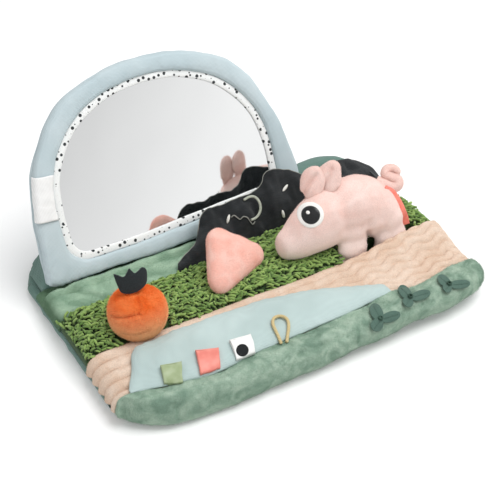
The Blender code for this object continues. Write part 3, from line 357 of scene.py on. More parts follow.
def crease(points, surface, pixels, count, depth, width, shift=(0, 0, 0)):
    """How far a fold or a pulled seam, drawn on a surface through pixels, draws each point in."""
    nearest = np.full(len(points), 1.0)
    for place in line_on(surface, pixels, count)[0] + shift:
        nearest = np.minimum(nearest, np.linalg.norm(points - place, axis=1))
    return depth * MM * np.exp(-(nearest / (width * MM)) ** 2)


def dress(piece, body, material, nodes=()):
    """Gives a piece its finish and its body, and hides the CAD nodes that it stands for."""
    piece.data.materials.clear()
    piece.data.materials.append(material)
    piece.data.shade_smooth()
    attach(piece, body)
    if nodes:
        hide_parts(*nodes)
    return piece


# %% [markdown]
# Stuffed cloth swells until its threads pull back, and puckers where it is held. The cloth
# solver blows up a coarse copy, whose capped movement is handed to the fine piece.

# %% Swelling by cloth simulation
def swell(piece, square, cap, shrink=0.6 * MM, steps=20):
    """Blows the piece up as stuffed cloth."""
    copy = link(piece.name + "_coarse", piece.data.copy())
    modify(copy, "REMESH", {"mode": "VOXEL", "voxel_size": square})
    push_out(copy, np.full(len(copy.data.vertices), -shrink))
    start = read_points(copy)
    cloth = copy.modifiers.new("blown", "CLOTH").settings
    cloth.use_pressure = True
    cloth.uniform_pressure_force = 4.0
    cloth.effector_weights.gravity = 0
    cloth.tension_stiffness = 20
    cloth.compression_stiffness = 20
    cloth.bending_stiffness = 0.4
    for step in range(1, steps + 1):
        scene.frame_set(step)
    moved = read_points(copy.evaluated_get(bpy.context.evaluated_depsgraph_get())) - start
    scene.frame_set(1)
    moved *= np.minimum(1, cap / np.maximum(np.linalg.norm(moved, axis=1, keepdims=True), 1e-9))
    tree = KDTree(len(start))
    for index, place in enumerate(start):
        tree.insert(place, index)
    tree.balance()
    points = read_points(piece)
    for index, place in enumerate(points):
        near = tree.find_n(place, 4)
        weights = np.array([1 / (distance + 0.3 * MM) for _, _, distance in near])
        own = moved[[found for _, found, _ in near]] * weights[:, None]
        points[index] = place + own.sum(0) / weights.sum()
    put_points(piece, points)
    mesh = copy.data
    bpy.data.objects.remove(copy)
    bpy.data.meshes.remove(mesh)


# %% [markdown]
# Every finish is a small tree of nodes, with patterns sized in millimetres. Colours are
# written as on a paint chart and turned to light values by one function.

# %% Colour and node helpers
def linear(code):
    """The light values of a colour that is written as hex."""
    parts = [int(code[start:start + 2], 16) / 255 for start in (1, 3, 5)]
    light = [part / 12.92 if part <= 0.04045 else ((part + 0.055) / 1.055) ** 2.4 for part in parts]
    return (*light, 1.0)


def feed(tree, node, inputs):
    """Sets a node's inputs. Each is a plain value or another node's output."""
    for name, value in inputs.items():
        if isinstance(value, bpy.types.NodeSocket):
            tree.links.new(value, node.inputs[name])
        else:
            node.inputs[name].default_value = value


def add(tree, kind, inputs=(), out=0, **settings):
    """Adds one node with its settings and links, and gives one of its outputs."""
    made = tree.nodes.new(kind)
    for name, value in settings.items():
        setattr(made, name, value)
    feed(tree, made, inputs if isinstance(inputs, dict) else dict(enumerate(inputs)))
    return made.outputs[out] if len(made.outputs) else made


def finish(name, noises, paint, roughness, shine, sheen, relief, metal=0.0):
    """A new material.

    Each noise is a size in millimetres, its detail and its distortion. The paint turns them into
    a colour and the pattern that stands up from the surface. The relief is how far and how strongly.
    """
    material = bpy.data.materials.new(name)
    material.use_nodes = True
    tree = material.node_tree
    place = add(tree, "ShaderNodeTexCoord", out="Object")
    made = [add(tree, "ShaderNodeTexNoise", {
        "Vector": place, "Scale": 1 / (size * MM), "Detail": detail, "Distortion": distortion,
    }) for size, detail, distortion in noises]
    colour, height = paint(tree, place, *made)
    bump = add(tree, "ShaderNodeBump", {"Height": height, "Distance": relief[0] * MM, "Strength": relief[1]})
    feed(tree, tree.nodes["Principled BSDF"], {
        "Base Color": colour, "Roughness": roughness, "Specular IOR Level": shine, "Metallic": metal,
        "Normal": bump, **sheen})
    return material


def toned(tree, pattern, span, first, second):
    """A first tone where a pattern is low and a second where it is high."""
    tones = [linear(tone) if isinstance(tone, str) else tone for tone in (first, second)]
    share = add(tree, "ShaderNodeMapRange", [pattern, *span])
    return add(tree, "ShaderNodeMix", {0: share, 6: tones[0], 7: tones[1]}, 2, data_type="RGBA")


def deepened(tree, colour, pattern, low, high, dim):
    """A colour that is dimmed where a pattern is low."""
    share = add(tree, "ShaderNodeMapRange", [pattern, low, high, dim, 1.0])
    both = {0: 1.0, 6: colour, 7: share}
    return add(tree, "ShaderNodeMix", both, 2, data_type="RGBA", blend_type="MULTIPLY")


def with_painted_lighting_below(tree, place, colour, foot):
    """Another colour below a height, fading out at a second height: painted shade when darker, painted light
    when paler.
    """
    if not foot:
        return colour
    height = add(tree, "ShaderNodeSeparateXYZ", [place], "Z")
    return toned(tree, height, (foot[1] * MM, foot[2] * MM, foot[3], 0.0), colour, foot[0])


def worked_out(tree, value, *steps):
    """A value after some steps of arithmetic."""
    for operation, other in steps:
        value = add(tree, "ShaderNodeMath", [value, other], operation=operation)
    return value


def turned_threads(tree, place, turn, pitch, directions, wobble=0.4):
    """Even threads or ribs in some directions, one every pitch, turned to lie with the cloth."""
    turned = add(tree, "ShaderNodeMapping", {"Vector": place, "Rotation": turn})
    waves = [add(tree, "ShaderNodeTexWave", {
        "Vector": turned, "Scale": 1 / (pitch * math.tau), "Distortion": wobble, "Detail": 1.0,
    }, "Fac", bands_direction=direction) for direction in directions]
    return worked_out(tree, waves[0], *[("ADD", wave) for wave in waves[1:]]), turned


# %% [markdown]
# Short plush is knitted polyester with 2 mm pile: no gloss, a soft bloom where light grazes
# it, and patches where hands stroked it. Crushed plush is the same cloth, pressed harder.

# %% Plush finishes
tuft_span = (0.30, 0.62)
plush_relief = (0.5, 0.6)


def short_plush(name, light, dark, patch, tuft=1.1, bloom=0.25, foot=None):
    def paint(tree, place, strokes, tufts):
        colour = with_painted_lighting_below(tree, place, toned(tree, strokes, (0.36, 0.66), dark, light), foot)
        return deepened(tree, colour, tufts, *tuft_span, 0.82), tufts
    sheen = {"Sheen Weight": bloom, "Sheen Roughness": 0.6, "Sheen Tint": linear(light)}
    return finish(name, [(patch, 3.0, 0.8), (tuft, 2.0, 0.0)], paint, 0.95, 0.1, sheen, plush_relief)


def crushed_plush(name, light, middle, dark, foot):
    def paint(tree, place, wide, small, tufts):
        wide = add(tree, "ShaderNodeMapRange", [wide, 0.34, 0.68])
        small = add(tree, "ShaderNodeMapRange", [small, 0.30, 0.70])
        ground = toned(tree, wide, (0.0, 1.0), dark, middle)
        pressed = toned(tree, worked_out(tree, wide, ("MULTIPLY", small)), (0.0, 1.0), ground, light)
        return deepened(tree, with_painted_lighting_below(tree, place, pressed, foot), tufts, *tuft_span, 0.80), tufts
    sheen = {"Sheen Weight": 0.3, "Sheen Roughness": 0.5, "Sheen Tint": linear(light)}
    noises = [(26, 3.0, 1.2), (9, 3.0, 0.6), (1.1, 2.0, 0.0)]
    return finish(name, noises, paint, 0.95, 0.1, sheen, plush_relief)


# %% [markdown]
# Woven cotton shows crossing threads. Real ones are about 0.3 mm apart; they are drawn 0.7 mm
# apart, as finer ones vanish between the pixels. The canvas is the same in heavier thread.

# %% Woven cotton finish
thread_pitch = 0.7 * MM
canvas_pitch = 1.0 * MM
mirror_lean = math.radians(27)
panel_out = np.array((0, -math.cos(mirror_lean), math.sin(mirror_lean)))


def woven_cotton(name, light, dark, patch=60, turn=(0, 0, 0), pitch=thread_pitch, relief=0.12):
    def paint(tree, place, faded):
        weave, _ = turned_threads(tree, place, turn, pitch, "XYZ")
        return deepened(tree, toned(tree, faded, (0.35, 0.65), dark, light), weave, 0.4, 2.4, 0.94), weave
    return finish(name, [(patch, 3.0, 0.0)], paint, 0.85, 0.2, {"Sheen Weight": 0.12}, (relief, 1.0))


# %% [markdown]
# Felt has no threads, so it is matt and faintly cloudy. Satin ribbon has fine ribs across its
# width and a soft gloss. Cotton cord is laid from strands that wind round it.

# %% Felt, ribbon and cord finishes
ribbon_rib = 0.8 * MM
cord_lay = 3.2 * MM


def wool_felt(name, light, dark):
    def paint(tree, place, fibres):
        return toned(tree, fibres, (0.3, 0.7), dark, light), fibres
    return finish(name, [(0.9, 4.0, 1.5)], paint, 1.0, 0.05, {"Sheen Weight": 0.15}, (0.35, 0.7))


def ribbon_satin(name, light, dark, turn=0.0, gloss=0.42):
    def paint(tree, place, tired):
        ribs, _ = turned_threads(tree, place, (0, 0, turn), ribbon_rib, "X", 0.1)
        return deepened(tree, toned(tree, tired, (0.35, 0.65), dark, light), ribs, 0.0, 1.0, 0.93), ribs
    return finish(name, [(8, 2.0, 0.0)], paint, gloss, 0.4, {"Sheen Weight": 0.1}, (0.08, 0.6))


def laid_cord(name, light, dark):
    def paint(tree, place):
        along = add(tree, "ShaderNodeAttribute", out="Fac", attribute_name="along")
        around = add(tree, "ShaderNodeAttribute", out="Fac", attribute_name="around")
        wave = worked_out(
            tree, along, ("DIVIDE", cord_lay), ("ADD", around), ("MULTIPLY", math.tau * 2), ("SINE", 0.0))
        strands = add(tree, "ShaderNodeMapRange", [wave, -1.0, 1.0])
        return toned(tree, strands, (0.0, 1.0), dark, light), strands
    return finish(name, [], paint, 0.8, 0.15, {"Sheen Weight": 0.1}, (0.25, 0.8))


# %% [markdown]
# Real pile makes plush look soft at its outline. Each hair is a cone with three sides, planted
# by Geometry Nodes and leaning the way the pile was brushed, with some disorder.

# %% Makers of pile and stitches
def grower(name, numbers, grow):
    """A Geometry Nodes tree: its number inputs, and what it grows from its mesh."""
    tree = bpy.data.node_groups.new(name, "GeometryNodeTree")
    for label, kind in {"Mesh": "Geometry", **numbers, "Finish": "Material"}.items():
        tree.interface.new_socket(name=label, in_out="INPUT", socket_type="NodeSocket" + kind)
    tree.interface.new_socket(name="Mesh", in_out="OUTPUT", socket_type="NodeSocketGeometry")
    entry = add(tree, "NodeGroupInput").node.outputs
    painted = add(tree, "GeometryNodeSetMaterial", {0: grow(tree, entry), "Material": entry["Finish"]})
    add(tree, "NodeGroupOutput", [painted])
    return tree


def run_tree(piece, tree, values):
    """Puts a tree on a piece with its inputs set, and keeps the result as a plain mesh."""
    grown = piece.modifiers.new(tree.name, "NODES")
    grown.node_group = tree
    for item in tree.interface.items_tree:
        if item.in_out == "INPUT" and item.name in values:
            grown[item.identifier] = values[item.name]
    return settle(piece)


def disordered(tree, entry, way, low, high):
    """A direction with random disorder added to it."""
    spread = {0: low, 1: high, "Seed": entry["Seed"]}
    mess = add(tree, "FunctionNodeRandomValue", spread, data_type="FLOAT_VECTOR")
    loose = add(tree, "ShaderNodeVectorMath", {0: mess, "Scale": entry["Disorder"]}, operation="SCALE")
    return add(tree, "ShaderNodeVectorMath", [way, loose], operation="ADD")


def planted(tree, spots, shape, turn, size):
    """A copy of a shape on every spot, turned and sized."""
    return add(tree, "GeometryNodeInstanceOnPoints", {
        "Points": spots, "Instance": shape, "Rotation": turn, "Scale": size})


def hairs(tree, entry):
    spots = add(tree, "GeometryNodeDistributePointsOnFaces", {
        "Mesh": entry["Mesh"], "Density": entry["Hairs"], "Seed": entry["Seed"]})
    way = add(tree, "ShaderNodeVectorMath", [spots.node.outputs["Normal"], entry["Brushed"]], operation="ADD")
    aim = disordered(tree, entry, way, (-1, -1, -1), (1, 1, 1))
    turn = add(tree, "FunctionNodeAlignRotationToVector", {"Vector": aim}, axis="Z")
    spread = {2: 0.55, 3: 1.1, "Seed": entry["Seed"]}
    size = add(tree, "FunctionNodeRandomValue", spread, 1, data_type="FLOAT")
    hair = add(tree, "GeometryNodeMeshCone", {
        "Vertices": 3, "Radius Bottom": entry["Width"], "Depth": entry["Length"]}, fill_type="NONE")
    real = add(tree, "GeometryNodeRealizeInstances", [planted(tree, spots, hair, turn, size)])
    both = add(tree, "GeometryNodeJoinGeometry", [real])
    tree.links.new(entry["Mesh"], both.node.inputs[0])
    return both


pile_tree = grower("pile", {
    "Hairs": "Float", "Length": "Float", "Width": "Float", "Brushed": "Vector", "Disorder": "Float",
    "Seed": "Int"}, hairs)


def grow_pile(piece, material, density, length, width, brushed, disorder, seed):
    """Plants hairs, so many on each square millimetre."""
    run_tree(piece, pile_tree, {
        "Hairs": density / MM**2, "Length": length * MM, "Width": width * MM, "Brushed": brushed,
        "Disorder": disorder, "Seed": seed, "Finish": material})


def threads(tree, entry):
    line = add(tree, "GeometryNodeMeshToCurve", {"Mesh": entry["Mesh"]})
    spots = add(tree, "GeometryNodeCurveToPoints", {"Curve": line, "Length": entry["Pitch"]}, mode="LENGTH")
    turn = add(tree, "FunctionNodeAlignRotationToVector", {"Vector": spots.node.outputs["Tangent"]}, axis="Z")
    ball = add(tree, "GeometryNodeMeshUVSphere", {"Segments": 6, "Rings": 5, "Radius": 1.0})
    half = worked_out(tree, entry["Length"], ("MULTIPLY", 0.5))
    size = add(tree, "ShaderNodeCombineXYZ", [entry["Radius"], entry["Radius"], half])
    return add(tree, "GeometryNodeRealizeInstances", [planted(tree, spots, ball, turn, size)])


stitch_tree = grower("stitches", {"Pitch": "Float", "Length": "Float", "Radius": "Float"}, threads)


def stitches(name, lines, material, pitch, length, radius):
    """Rows of stitches, each along its own line of places."""
    points, edges = [], []
    for line in lines:
        start = len(points)
        points += [tuple(place) for place in line]
        edges += [(index, index + 1) for index in range(start, len(points) - 1)]
    mesh = bpy.data.meshes.new(name)
    mesh.from_pydata(points, edges, [])
    return run_tree(link(name, mesh), stitch_tree, {
        "Pitch": pitch * MM, "Length": length * MM, "Radius": radius * MM, "Finish": material})


# %% [markdown]
# The studio is a pale paper floor, a soft white room and one large lamp. The mirror sees a
# wall that goes from light grey on the left to white on the right.

# %% Floor, light and surroundings
floor_half = 3.0
lamp_place = Vector((0.55, -0.50, 2.0))


def make_surroundings():
    corners = [(floor_half * x, floor_half * y, 0) for x, y in ((-1, -1), (1, -1), (1, 1), (-1, 1))]
    floor = from_faces("floor", corners, [(0, 1, 2, 3)])
    paper = bpy.data.materials.new("studio_paper")
    paper.use_nodes = True
    tree = paper.node_tree
    shader = tree.nodes["Principled BSDF"]
    feed(tree, shader, {"Base Color": linear("#F4F4F4"), "Roughness": 0.9, "Specular IOR Level": 0.0})
    ray = add(tree, "ShaderNodeLightPath").node.outputs
    glow = add(tree, "ShaderNodeEmission", {"Color": linear("#FFFFFF"), "Strength": 0.12})
    bright = add(tree, "ShaderNodeAddShader", [shader.outputs[0], glow])
    seen = add(tree, "ShaderNodeMixShader", [ray["Is Camera Ray"], shader.outputs[0], bright])
    feed(tree, tree.nodes["Material Output"], {"Surface": seen})
    floor.data.materials.append(paper)

    scene.world = bpy.data.worlds.new("white_room")
    scene.world.use_nodes = True
    tree = scene.world.node_tree
    tree.nodes.clear()
    ray = add(tree, "ShaderNodeLightPath").node.outputs
    direction = add(tree, "ShaderNodeTexCoord", out="Generated")
    looking = add(tree, "ShaderNodeSeparateXYZ", [direction]).node.outputs
    side_on = worked_out(tree, looking["Z"], ("MULTIPLY", -0.8), ("ADD", looking["X"]))
    graded = add(tree, "ShaderNodeMapRange", [side_on, 0.02, 0.19, 0.65, 0.95])
    room, wall, shade = [
        add(tree, "ShaderNodeBackground", {"Color": linear("#FFFFFF"), "Strength": strength})
        for strength in (0.66, 1.0, graded)]
    direct = worked_out(tree, ray["Is Camera Ray"], ("MAXIMUM", ray["Is Transmission Ray"]))
    plain = add(tree, "ShaderNodeMixShader", [direct, room, wall])
    mirrored = add(tree, "ShaderNodeMixShader", [ray["Is Glossy Ray"], plain, shade])
    add(tree, "ShaderNodeOutputWorld", [mirrored])

    light = bpy.data.lights.new("soft_lamp", "AREA")
    light.shape = "DISK"
    light.size = 1.6
    light.energy = 31.0
    aimed("soft_lamp", light, lamp_place, -lamp_place)


make_surroundings()
scene.view_settings.view_transform = "Standard"

# %% Finishes of the mat
# The field's dark foot colour, below 27 to 36 mm, is painted shade on its low ends and sides.
field_plush = short_plush("light_sage_plush", "#B0CAB2", "#84A28A", 30, foot=("#4A6A4D", 27, 36, 0.85))
# The roll's pale foot colour, below 3 to 9 mm, is a painted highlight along its lower edge.
roll_plush = crushed_plush("crushed_sage_plush", "#B6C9B8", "#9DB6A2", "#7E9987", ("#C6D4C8", 3, 9, 0.75))
path_plush = short_plush("peach_ribbed_plush", "#E6D1BF", "#DCC1AB", 26, bloom=0.2)
mint_cotton = woven_cotton("mint_cotton", "#BED0CE", "#B4C7C5")
canvas = woven_cotton("dark_green_canvas", "#76928A", "#668279", pitch=canvas_pitch, relief=0.2)
frame_cotton = woven_cotton("blue_grey_cotton", "#C6D3D7", "#BACACF", turn=(mirror_lean, 0, 0))
crinkle_cloth = woven_cotton("black_crinkle_cotton", "#303335", "#202325", patch=20, relief=0.2)
grass_backing = woven_cotton("chenille_backing", "#38542A", "#2A4020")

# %% [markdown]
# The base is a canvas bag round a thin sheet of wadding. The strips hang over its sides, so
# only a dark line along the floor and a corner behind the mirror show.

# %% Base
half_mat = 0.220
mat_front_y = -0.145
mat_back_y = 0.146
base_half = 0.2213
front_corner = 0.045
back_corner = 0.062
strip_floor = 0.0143
outline_points = 260
base_layers = [
    (9, 0.2), (6.5, 0.4), (4.2, 2.0), (2.4, 5.0), (1.6, 9.0), (2.2, 12.4), (6, 14.0), (12, 14.0)]


def mat_outline(inset):
    """Outline of the base, drawn in by inset."""
    points = []
    for side_x, side_y, start in ((1, -1, -90), (1, 1, 0), (-1, 1, 90), (-1, -1, 180)):
        corner = back_corner if side_y > 0 else front_corner
        radius = corner - inset
        centre_x = side_x * (base_half - corner)
        centre_y = mat_back_y - corner if side_y > 0 else mat_front_y + corner
        for turn in np.radians(np.linspace(start, start + 90, 13)):
            points.append((centre_x + radius * math.cos(turn), centre_y + radius * math.sin(turn)))
    return even_route(points, outline_points, closed=True)


base = lofted("canvas_base", [
    np.column_stack([mat_outline(inset * MM), np.full(outline_points, z * MM)]) for inset, z in base_layers])
crumple(base, [(0.5, 22, 3)], fade(read_points(base)[:, 2], 1 * MM, 4 * MM))
dress(base, "mat", canvas, ["base_cover", "mat_wadding"])

# %% [markdown]
# Four strips of different cloth are sewn side by side. A strip is highest along its middle,
# dips into the seams, and rolls over the mat's ends. Its top is a height over the floor.

# %% Seams and ends of the strips
pile_top = 0.036
end_round = 0.018
end_fullness = 0.77
hem_z = 0.0160
grass_front_y = -0.0627
grass_back_shares = [
    (-1, -0.8), (-0.7, -0.8), (-0.4, -0.7), (-0.2, -0.3), (0.05, 0.6), (0.3, 0.9), (0.6, 0.6), (1, -0.3)]
roll_seam_shares = [
    (-1, 1.1), (-0.9, 0.7), (-0.66, -0.5), (-0.52, -0.8), (-0.3, -0.2), (0, 0.1), (0.25, 0.4),
    (0.45, 0.9), (0.55, 0.5), (0.75, 0.9), (0.9, 1.4), (1, 1.5)]
seam_wander = 0.010
half_gap = 0.00015
seam_round = 10 * MM
column_spacing = 2 * MM
end_columns = 10


def grass_back(x):
    return 0.014 + seam_wander * curve_through(grass_back_shares, x / half_mat)


def roll_seam(x):
    return -0.143 + seam_wander * curve_through(roll_seam_shares, x / half_mat)


def mat_columns():
    """Places across the mat, closer at its ends, and how much of its height is left there."""
    flat_half = half_mat - end_round
    middle = np.linspace(-flat_half, flat_half, round(2 * flat_half / column_spacing))
    turn = np.linspace(0, math.pi / 2, end_columns + 1)[1:]
    out = end_round * np.sin(turn) ** end_fullness
    fall = np.abs(np.cos(turn)) ** end_fullness
    x = np.concatenate([-flat_half - out[::-1], middle, flat_half + out])
    return x, np.concatenate([fall[::-1], np.ones(len(middle)), fall])


def sewn_pad(name, front, back, top, rows, end_bulge=None, under_rows=12):
    """A closed pad across the mat: a fine top, straight walls at its seams and a flat underside."""
    x, fall = mat_columns()
    low, high = front(x)[:, None], back(x)[:, None]
    share = np.linspace(0, 1, rows)[None, :] + np.zeros_like(low)
    y = low + (high - low) * share
    across = np.repeat(x[:, None], rows, 1)
    z = hem_z + (top(across, y, share, low, high) - hem_z) * fall[:, None]
    if end_bulge is not None:
        across = across + np.sign(across) * end_bulge(across, share) * (1 - fall[:, None])
    below = np.linspace(1, 0, under_rows)[None, :] + np.zeros_like(low)
    under_z = np.minimum(strip_floor, z.min(axis=1) - 1 * MM)[:, None] + np.zeros_like(below)
    under = np.stack([np.repeat(x[:, None], under_rows, 1), low + (high - low) * below, under_z], -1)
    return lofted(name, np.concatenate([np.stack([across, y, z], -1), under], 1))


# %% The plush field in front of the mirror
field_back_y = 0.0700
field_lower = 0.6 * MM
field_dip = 1.6 * MM
field_dip_y = (0.0340, 0.0400)
field_ridge = 3.0 * MM
field_ridge_y = (0.0410, 0.0465)
field_hem_z = 24 * MM
field_hem_y = (0.0495, 0.0535)
field_seam_dip = 6 * MM
field_fold = [(66, 287), (80, 291), (95, 294), (108, 299)]
fold_back = (0, 0.009, 0)
ridge_rows = 44


def field_top(x, y, share, low, high):
    full = pile_top - field_lower - field_dip * fade(y, *field_dip_y) + field_ridge * fade(y, *field_ridge_y)
    full = full - (full - field_hem_z) * fade(y, *field_hem_y)
    return full - field_seam_dip * (1 - padded_edge(y - low, seam_round)) * (1 - share)


field = sewn_pad(
    "plush_field", lambda x: grass_back(x) + half_gap, lambda x: 0 * x + field_back_y, field_top, ridge_rows)
surface = surface_of(field)
points = read_points(field)
bulge = crease(points, surface, field_fold, 12, 1.6, 6, fold_back)
crumple(field, [(0.7, 32, 5)], fade(points[:, 2], 20 * MM, 28 * MM),
        bulge - crease(points, surface, field_fold, 12, 3.0, 5))
rub(field, 2)
dress(field, "mat", field_plush, ["back_plush_field"])
grow_pile(field, field_plush, 0.85, 1.8, 0.15, (0.2, -0.5, 0.1), 0.5, 3)

# %% [markdown]
# The path is wide-rib plush. At the left end its ribs bulge over the edge like fingers. On the
# right they wander, and the back edge stands up as the lip of the pig's pocket.

# %% The ribbed path
rib_count_left = 4.7
rib_count_right = 6.4
rib_depth = 3.2 * MM
rib_end_depth = 6.5 * MM
rib_loose_depth = 1.0 * MM
rib_change_x = (-0.16, 0.04)
loose_x = (0.03, 0.10)
wander_share = 0.044
wander_length = 0.034
end_x = (0.180, 0.214)
lip_x = (0.070, 0.205)
lip_rise = 0.014
lip_start_y = -0.112
path_seam_dip = 2.8 * MM
path_lift = 0.8 * MM
carrot_centre = np.array((-0.154, -0.050, 0.056))
hollow_radius = 0.0316
hollow_depth = 0.0266


def rib_profile(x, share):
    """1 on top of a rib and 0 in the valley between two."""
    count = rib_count_left + (rib_count_right - rib_count_left) * fade(x, *rib_change_x)
    wander = fade(x, *loose_x) * wander_share * np.sin(x * math.tau / wander_length + 2.5 * share)
    return np.abs(np.sin(math.pi * (count * (1 - share) + 6 * wander)))


def path_top(x, y, share, low, high):
    at_end = fade(-x, *end_x)
    lip = fade(x, *lip_x)
    seam = 1 - padded_edge(y - low, seam_round) + (1 - padded_edge(high - y, seam_round)) * (1 - lip)
    deep = rib_depth + rib_end_depth * at_end + rib_loose_depth * fade(x, *loose_x)
    rib = deep * (1 - rib_profile(x, share) ** (0.40 + 0.15 * at_end))
    return pile_top + path_lift - rib - path_seam_dip * seam + lip_rise * lip * fade(y, lip_start_y, high)


def rib_fingers(x, share):
    return fade(-x, 0, 0.1) * (rib_end_depth * rib_profile(x, share) ** 0.6 - 3.0 * MM)


def make_hollow(piece):
    """Presses the carrot's hollow into a piece that lies under it."""
    points = read_points(piece)
    away = np.linalg.norm(points[:, :2] - carrot_centre[:2], axis=1)
    ball = carrot_centre[2] - hollow_depth * np.sqrt(np.clip(1 - (away / hollow_radius) ** 2, 0, 1))
    inside = (away < hollow_radius) & (points[:, 2] > ball)
    points[inside, 2] = np.maximum(ball[inside], strip_floor + 1 * MM)
    put_points(piece, points)


path = sewn_pad("ribbed_plush_path", lambda x: roll_seam(x) + half_gap,
                lambda x: grass_front_y - half_gap + 0 * x, path_top, 110, rib_fingers)
make_hollow(path)
crumple(path, [(0.4, 34, 8)], fade(read_points(path)[:, 2], 16 * MM, 24 * MM))
dress(path, "mat", path_plush, ["ribbed_path"])

# %% [markdown]
# The front roll is a fat tube of crushed plush that hangs over the base's front edge to the
# floor. It is lofted from one cross-section, blown up by the solver, then dented.

# %% The front roll
roll_top_z = 0.0395
roll_middle_z = 0.021
least_left = 0.12
section_points = 72
roll_fronts = [
    (-0.2185, -0.1285), (-0.2136, -0.1375), (-0.208, -0.1475), (-0.1956, -0.1585), (-0.175, -0.1670),
    (-0.140, -0.1715), (-0.05, -0.1720), (0.02, -0.1715), (0.08, -0.1700), (0.14, -0.1690),
    (0.175, -0.1680), (0.200, -0.1620), (0.213, -0.1530), (0.220, -0.1420)]
roll_feet = [
    (-0.22, 0.008), (-0.17, 0.0025), (-0.10, 0.0008), (-0.03, 0.0035), (0.05, 0.008), (0.14, 0.012),
    (0.22, 0.014)]
roll_section_shares = [
    (1.0, 0.0), (0.70, -0.005), (0.42, 0.0), (0.17, 0.04), (0.04, 0.16), (0.0, 0.36), (0.02, 0.62),
    (0.11, 0.83), (0.28, 0.97), (0.46, 1.01), (0.66, 1.0), (0.84, 0.97), (1.0, 0.90), (1.0, 0.3)]
roll_folds = [
    [(455, 262), (470, 272), (476, 284)], [(300, 352), (330, 343), (352, 333)], [(404, 312), (428, 303)]]


def make_roll():
    section = even_route(roll_section_shares, section_points, closed=True)
    rings = []
    for place, left in zip(*mat_columns()):
        back = float(roll_seam(place)) - half_gap
        front = min(float(curve_through(roll_fronts, place)), back - 5 * MM)
        foot = float(curve_through(roll_feet, place))
        foot = roll_middle_z + (foot - roll_middle_z) * max(left, least_left) ** 0.7
        top = roll_middle_z + (roll_top_z - roll_middle_z) * max(left, least_left)
        shift = 4 * MM * (1 - left) if place > 0 else 0
        rings.append(np.column_stack([
            np.full(section_points, place + shift), front + (back - front) * section[:, 0],
            foot + (top - foot) * section[:, 1]]))
    return lofted("front_roll", rings)


roll = make_roll()
swell(roll, 5 * MM, 1.6 * MM)
crumple(roll, [(0.9, 34, 11), (0.4, 13, 12)], fade(read_points(roll)[:, 2], 3 * MM, 9 * MM))
surface = surface_of(roll)
points = read_points(roll)
for fold in roll_folds:
    push_out(roll, -crease(points, surface, fold, 12, 1.6, 3.5))
rub(roll, 2)
dress(roll, "mat", roll_plush, ["front_bolster"])

# %% [markdown]
# The grass is chenille: a backing cloth with thousands of short, thick noodles of twisted
# yarn, all combed to one side. One noodle is a bent, tapering tube of few faces.

# %% Chenille noodles
def noodles_on(tree, entry):
    factor = add(tree, "GeometryNodeInputNamedAttribute", {"Name": "planted"}, "Attribute", data_type="FLOAT")
    spots = add(tree, "GeometryNodeDistributePointsOnFaces", {
        "Mesh": entry["Mesh"], "Distance Min": entry["Spacing"], "Density Max": 6e5,
        "Density Factor": factor, "Seed": entry["Seed"]}, distribute_method="POISSON")
    stem = add(tree, "GeometryNodeCurveQuadraticBezier", {
        "Resolution": 4, "Start": (0, 0, -0.08), "Middle": (0.10, 0, 0.60), "End": (0.80, 0, 0.48)})
    passed = add(tree, "GeometryNodeSplineParameter", out="Factor")
    far = worked_out(tree, passed, ("MULTIPLY", 2.0), ("SUBTRACT", 1.0), ("POWER", 4.0))
    taper = add(tree, "ShaderNodeMapRange", [far, 0.0, 1.0, 1.0, 0.5])
    stem = add(tree, "GeometryNodeSetCurveRadius", {"Curve": stem, "Radius": taper})
    stem = add(tree, "GeometryNodeStoreNamedAttribute", {
        "Geometry": stem, "Name": "along", "Value": passed}, data_type="FLOAT", domain="POINT")
    half = worked_out(tree, entry["Thickness"], ("DIVIDE", entry["Length"]), ("MULTIPLY", 0.5))
    section = add(tree, "GeometryNodeCurvePrimitiveCircle", {"Resolution": 6, "Radius": half})
    noodle = add(tree, "GeometryNodeCurveToMesh", {
        "Curve": stem, "Profile Curve": section, "Fill Caps": True})
    flow = disordered(tree, entry, entry["Combed"], (-1, -1, -0.3), (1, 1, 0.3))
    normal = spots.node.outputs["Normal"]
    upright = add(tree, "FunctionNodeAlignRotationToVector", {"Vector": normal}, axis="Z")
    combed = add(tree, "FunctionNodeAlignRotationToVector", {
        "Rotation": upright, "Vector": flow}, axis="X", pivot_axis="Z")
    spread = {2: 0.75, 3: 1.15, "Seed": entry["Seed"]}
    size = add(tree, "FunctionNodeRandomValue", spread, 1, data_type="FLOAT")
    size = worked_out(tree, size, ("MULTIPLY", entry["Length"]))
    shade = add(tree, "FunctionNodeRandomValue", {2: 0.0, 3: 1.0, "Seed": 5}, 1, data_type="FLOAT")
    shaded = add(tree, "GeometryNodeStoreNamedAttribute", {
        "Geometry": planted(tree, spots, noodle, combed, size), "Name": "strand", "Value": shade},
        data_type="FLOAT", domain="INSTANCE")
    return add(tree, "GeometryNodeRealizeInstances", [shaded])


def chenille_yarn(name, tip, middle, painted_root_shade):
    """Brushed yarn: each noodle has its own green and is lighter at its tip; the dark at its root is painted
    shade, where the noodles shade each other.
    """
    def paint(tree, place, fuzz):
        along = add(tree, "ShaderNodeAttribute", out="Fac", attribute_name="along")
        strand = add(tree, "ShaderNodeAttribute", out="Fac", attribute_name="strand")
        own = toned(tree, strand, (0.0, 1.0), middle, tip)
        return deepened(tree, toned(tree, along, (0.05, 0.65), painted_root_shade, own), fuzz, 0.3, 0.7, 0.86), fuzz
    return finish(name, [(0.8, 2.0, 0.0)], paint, 0.9, 0.1, {"Sheen Weight": 0.2}, (0.3, 0.6))


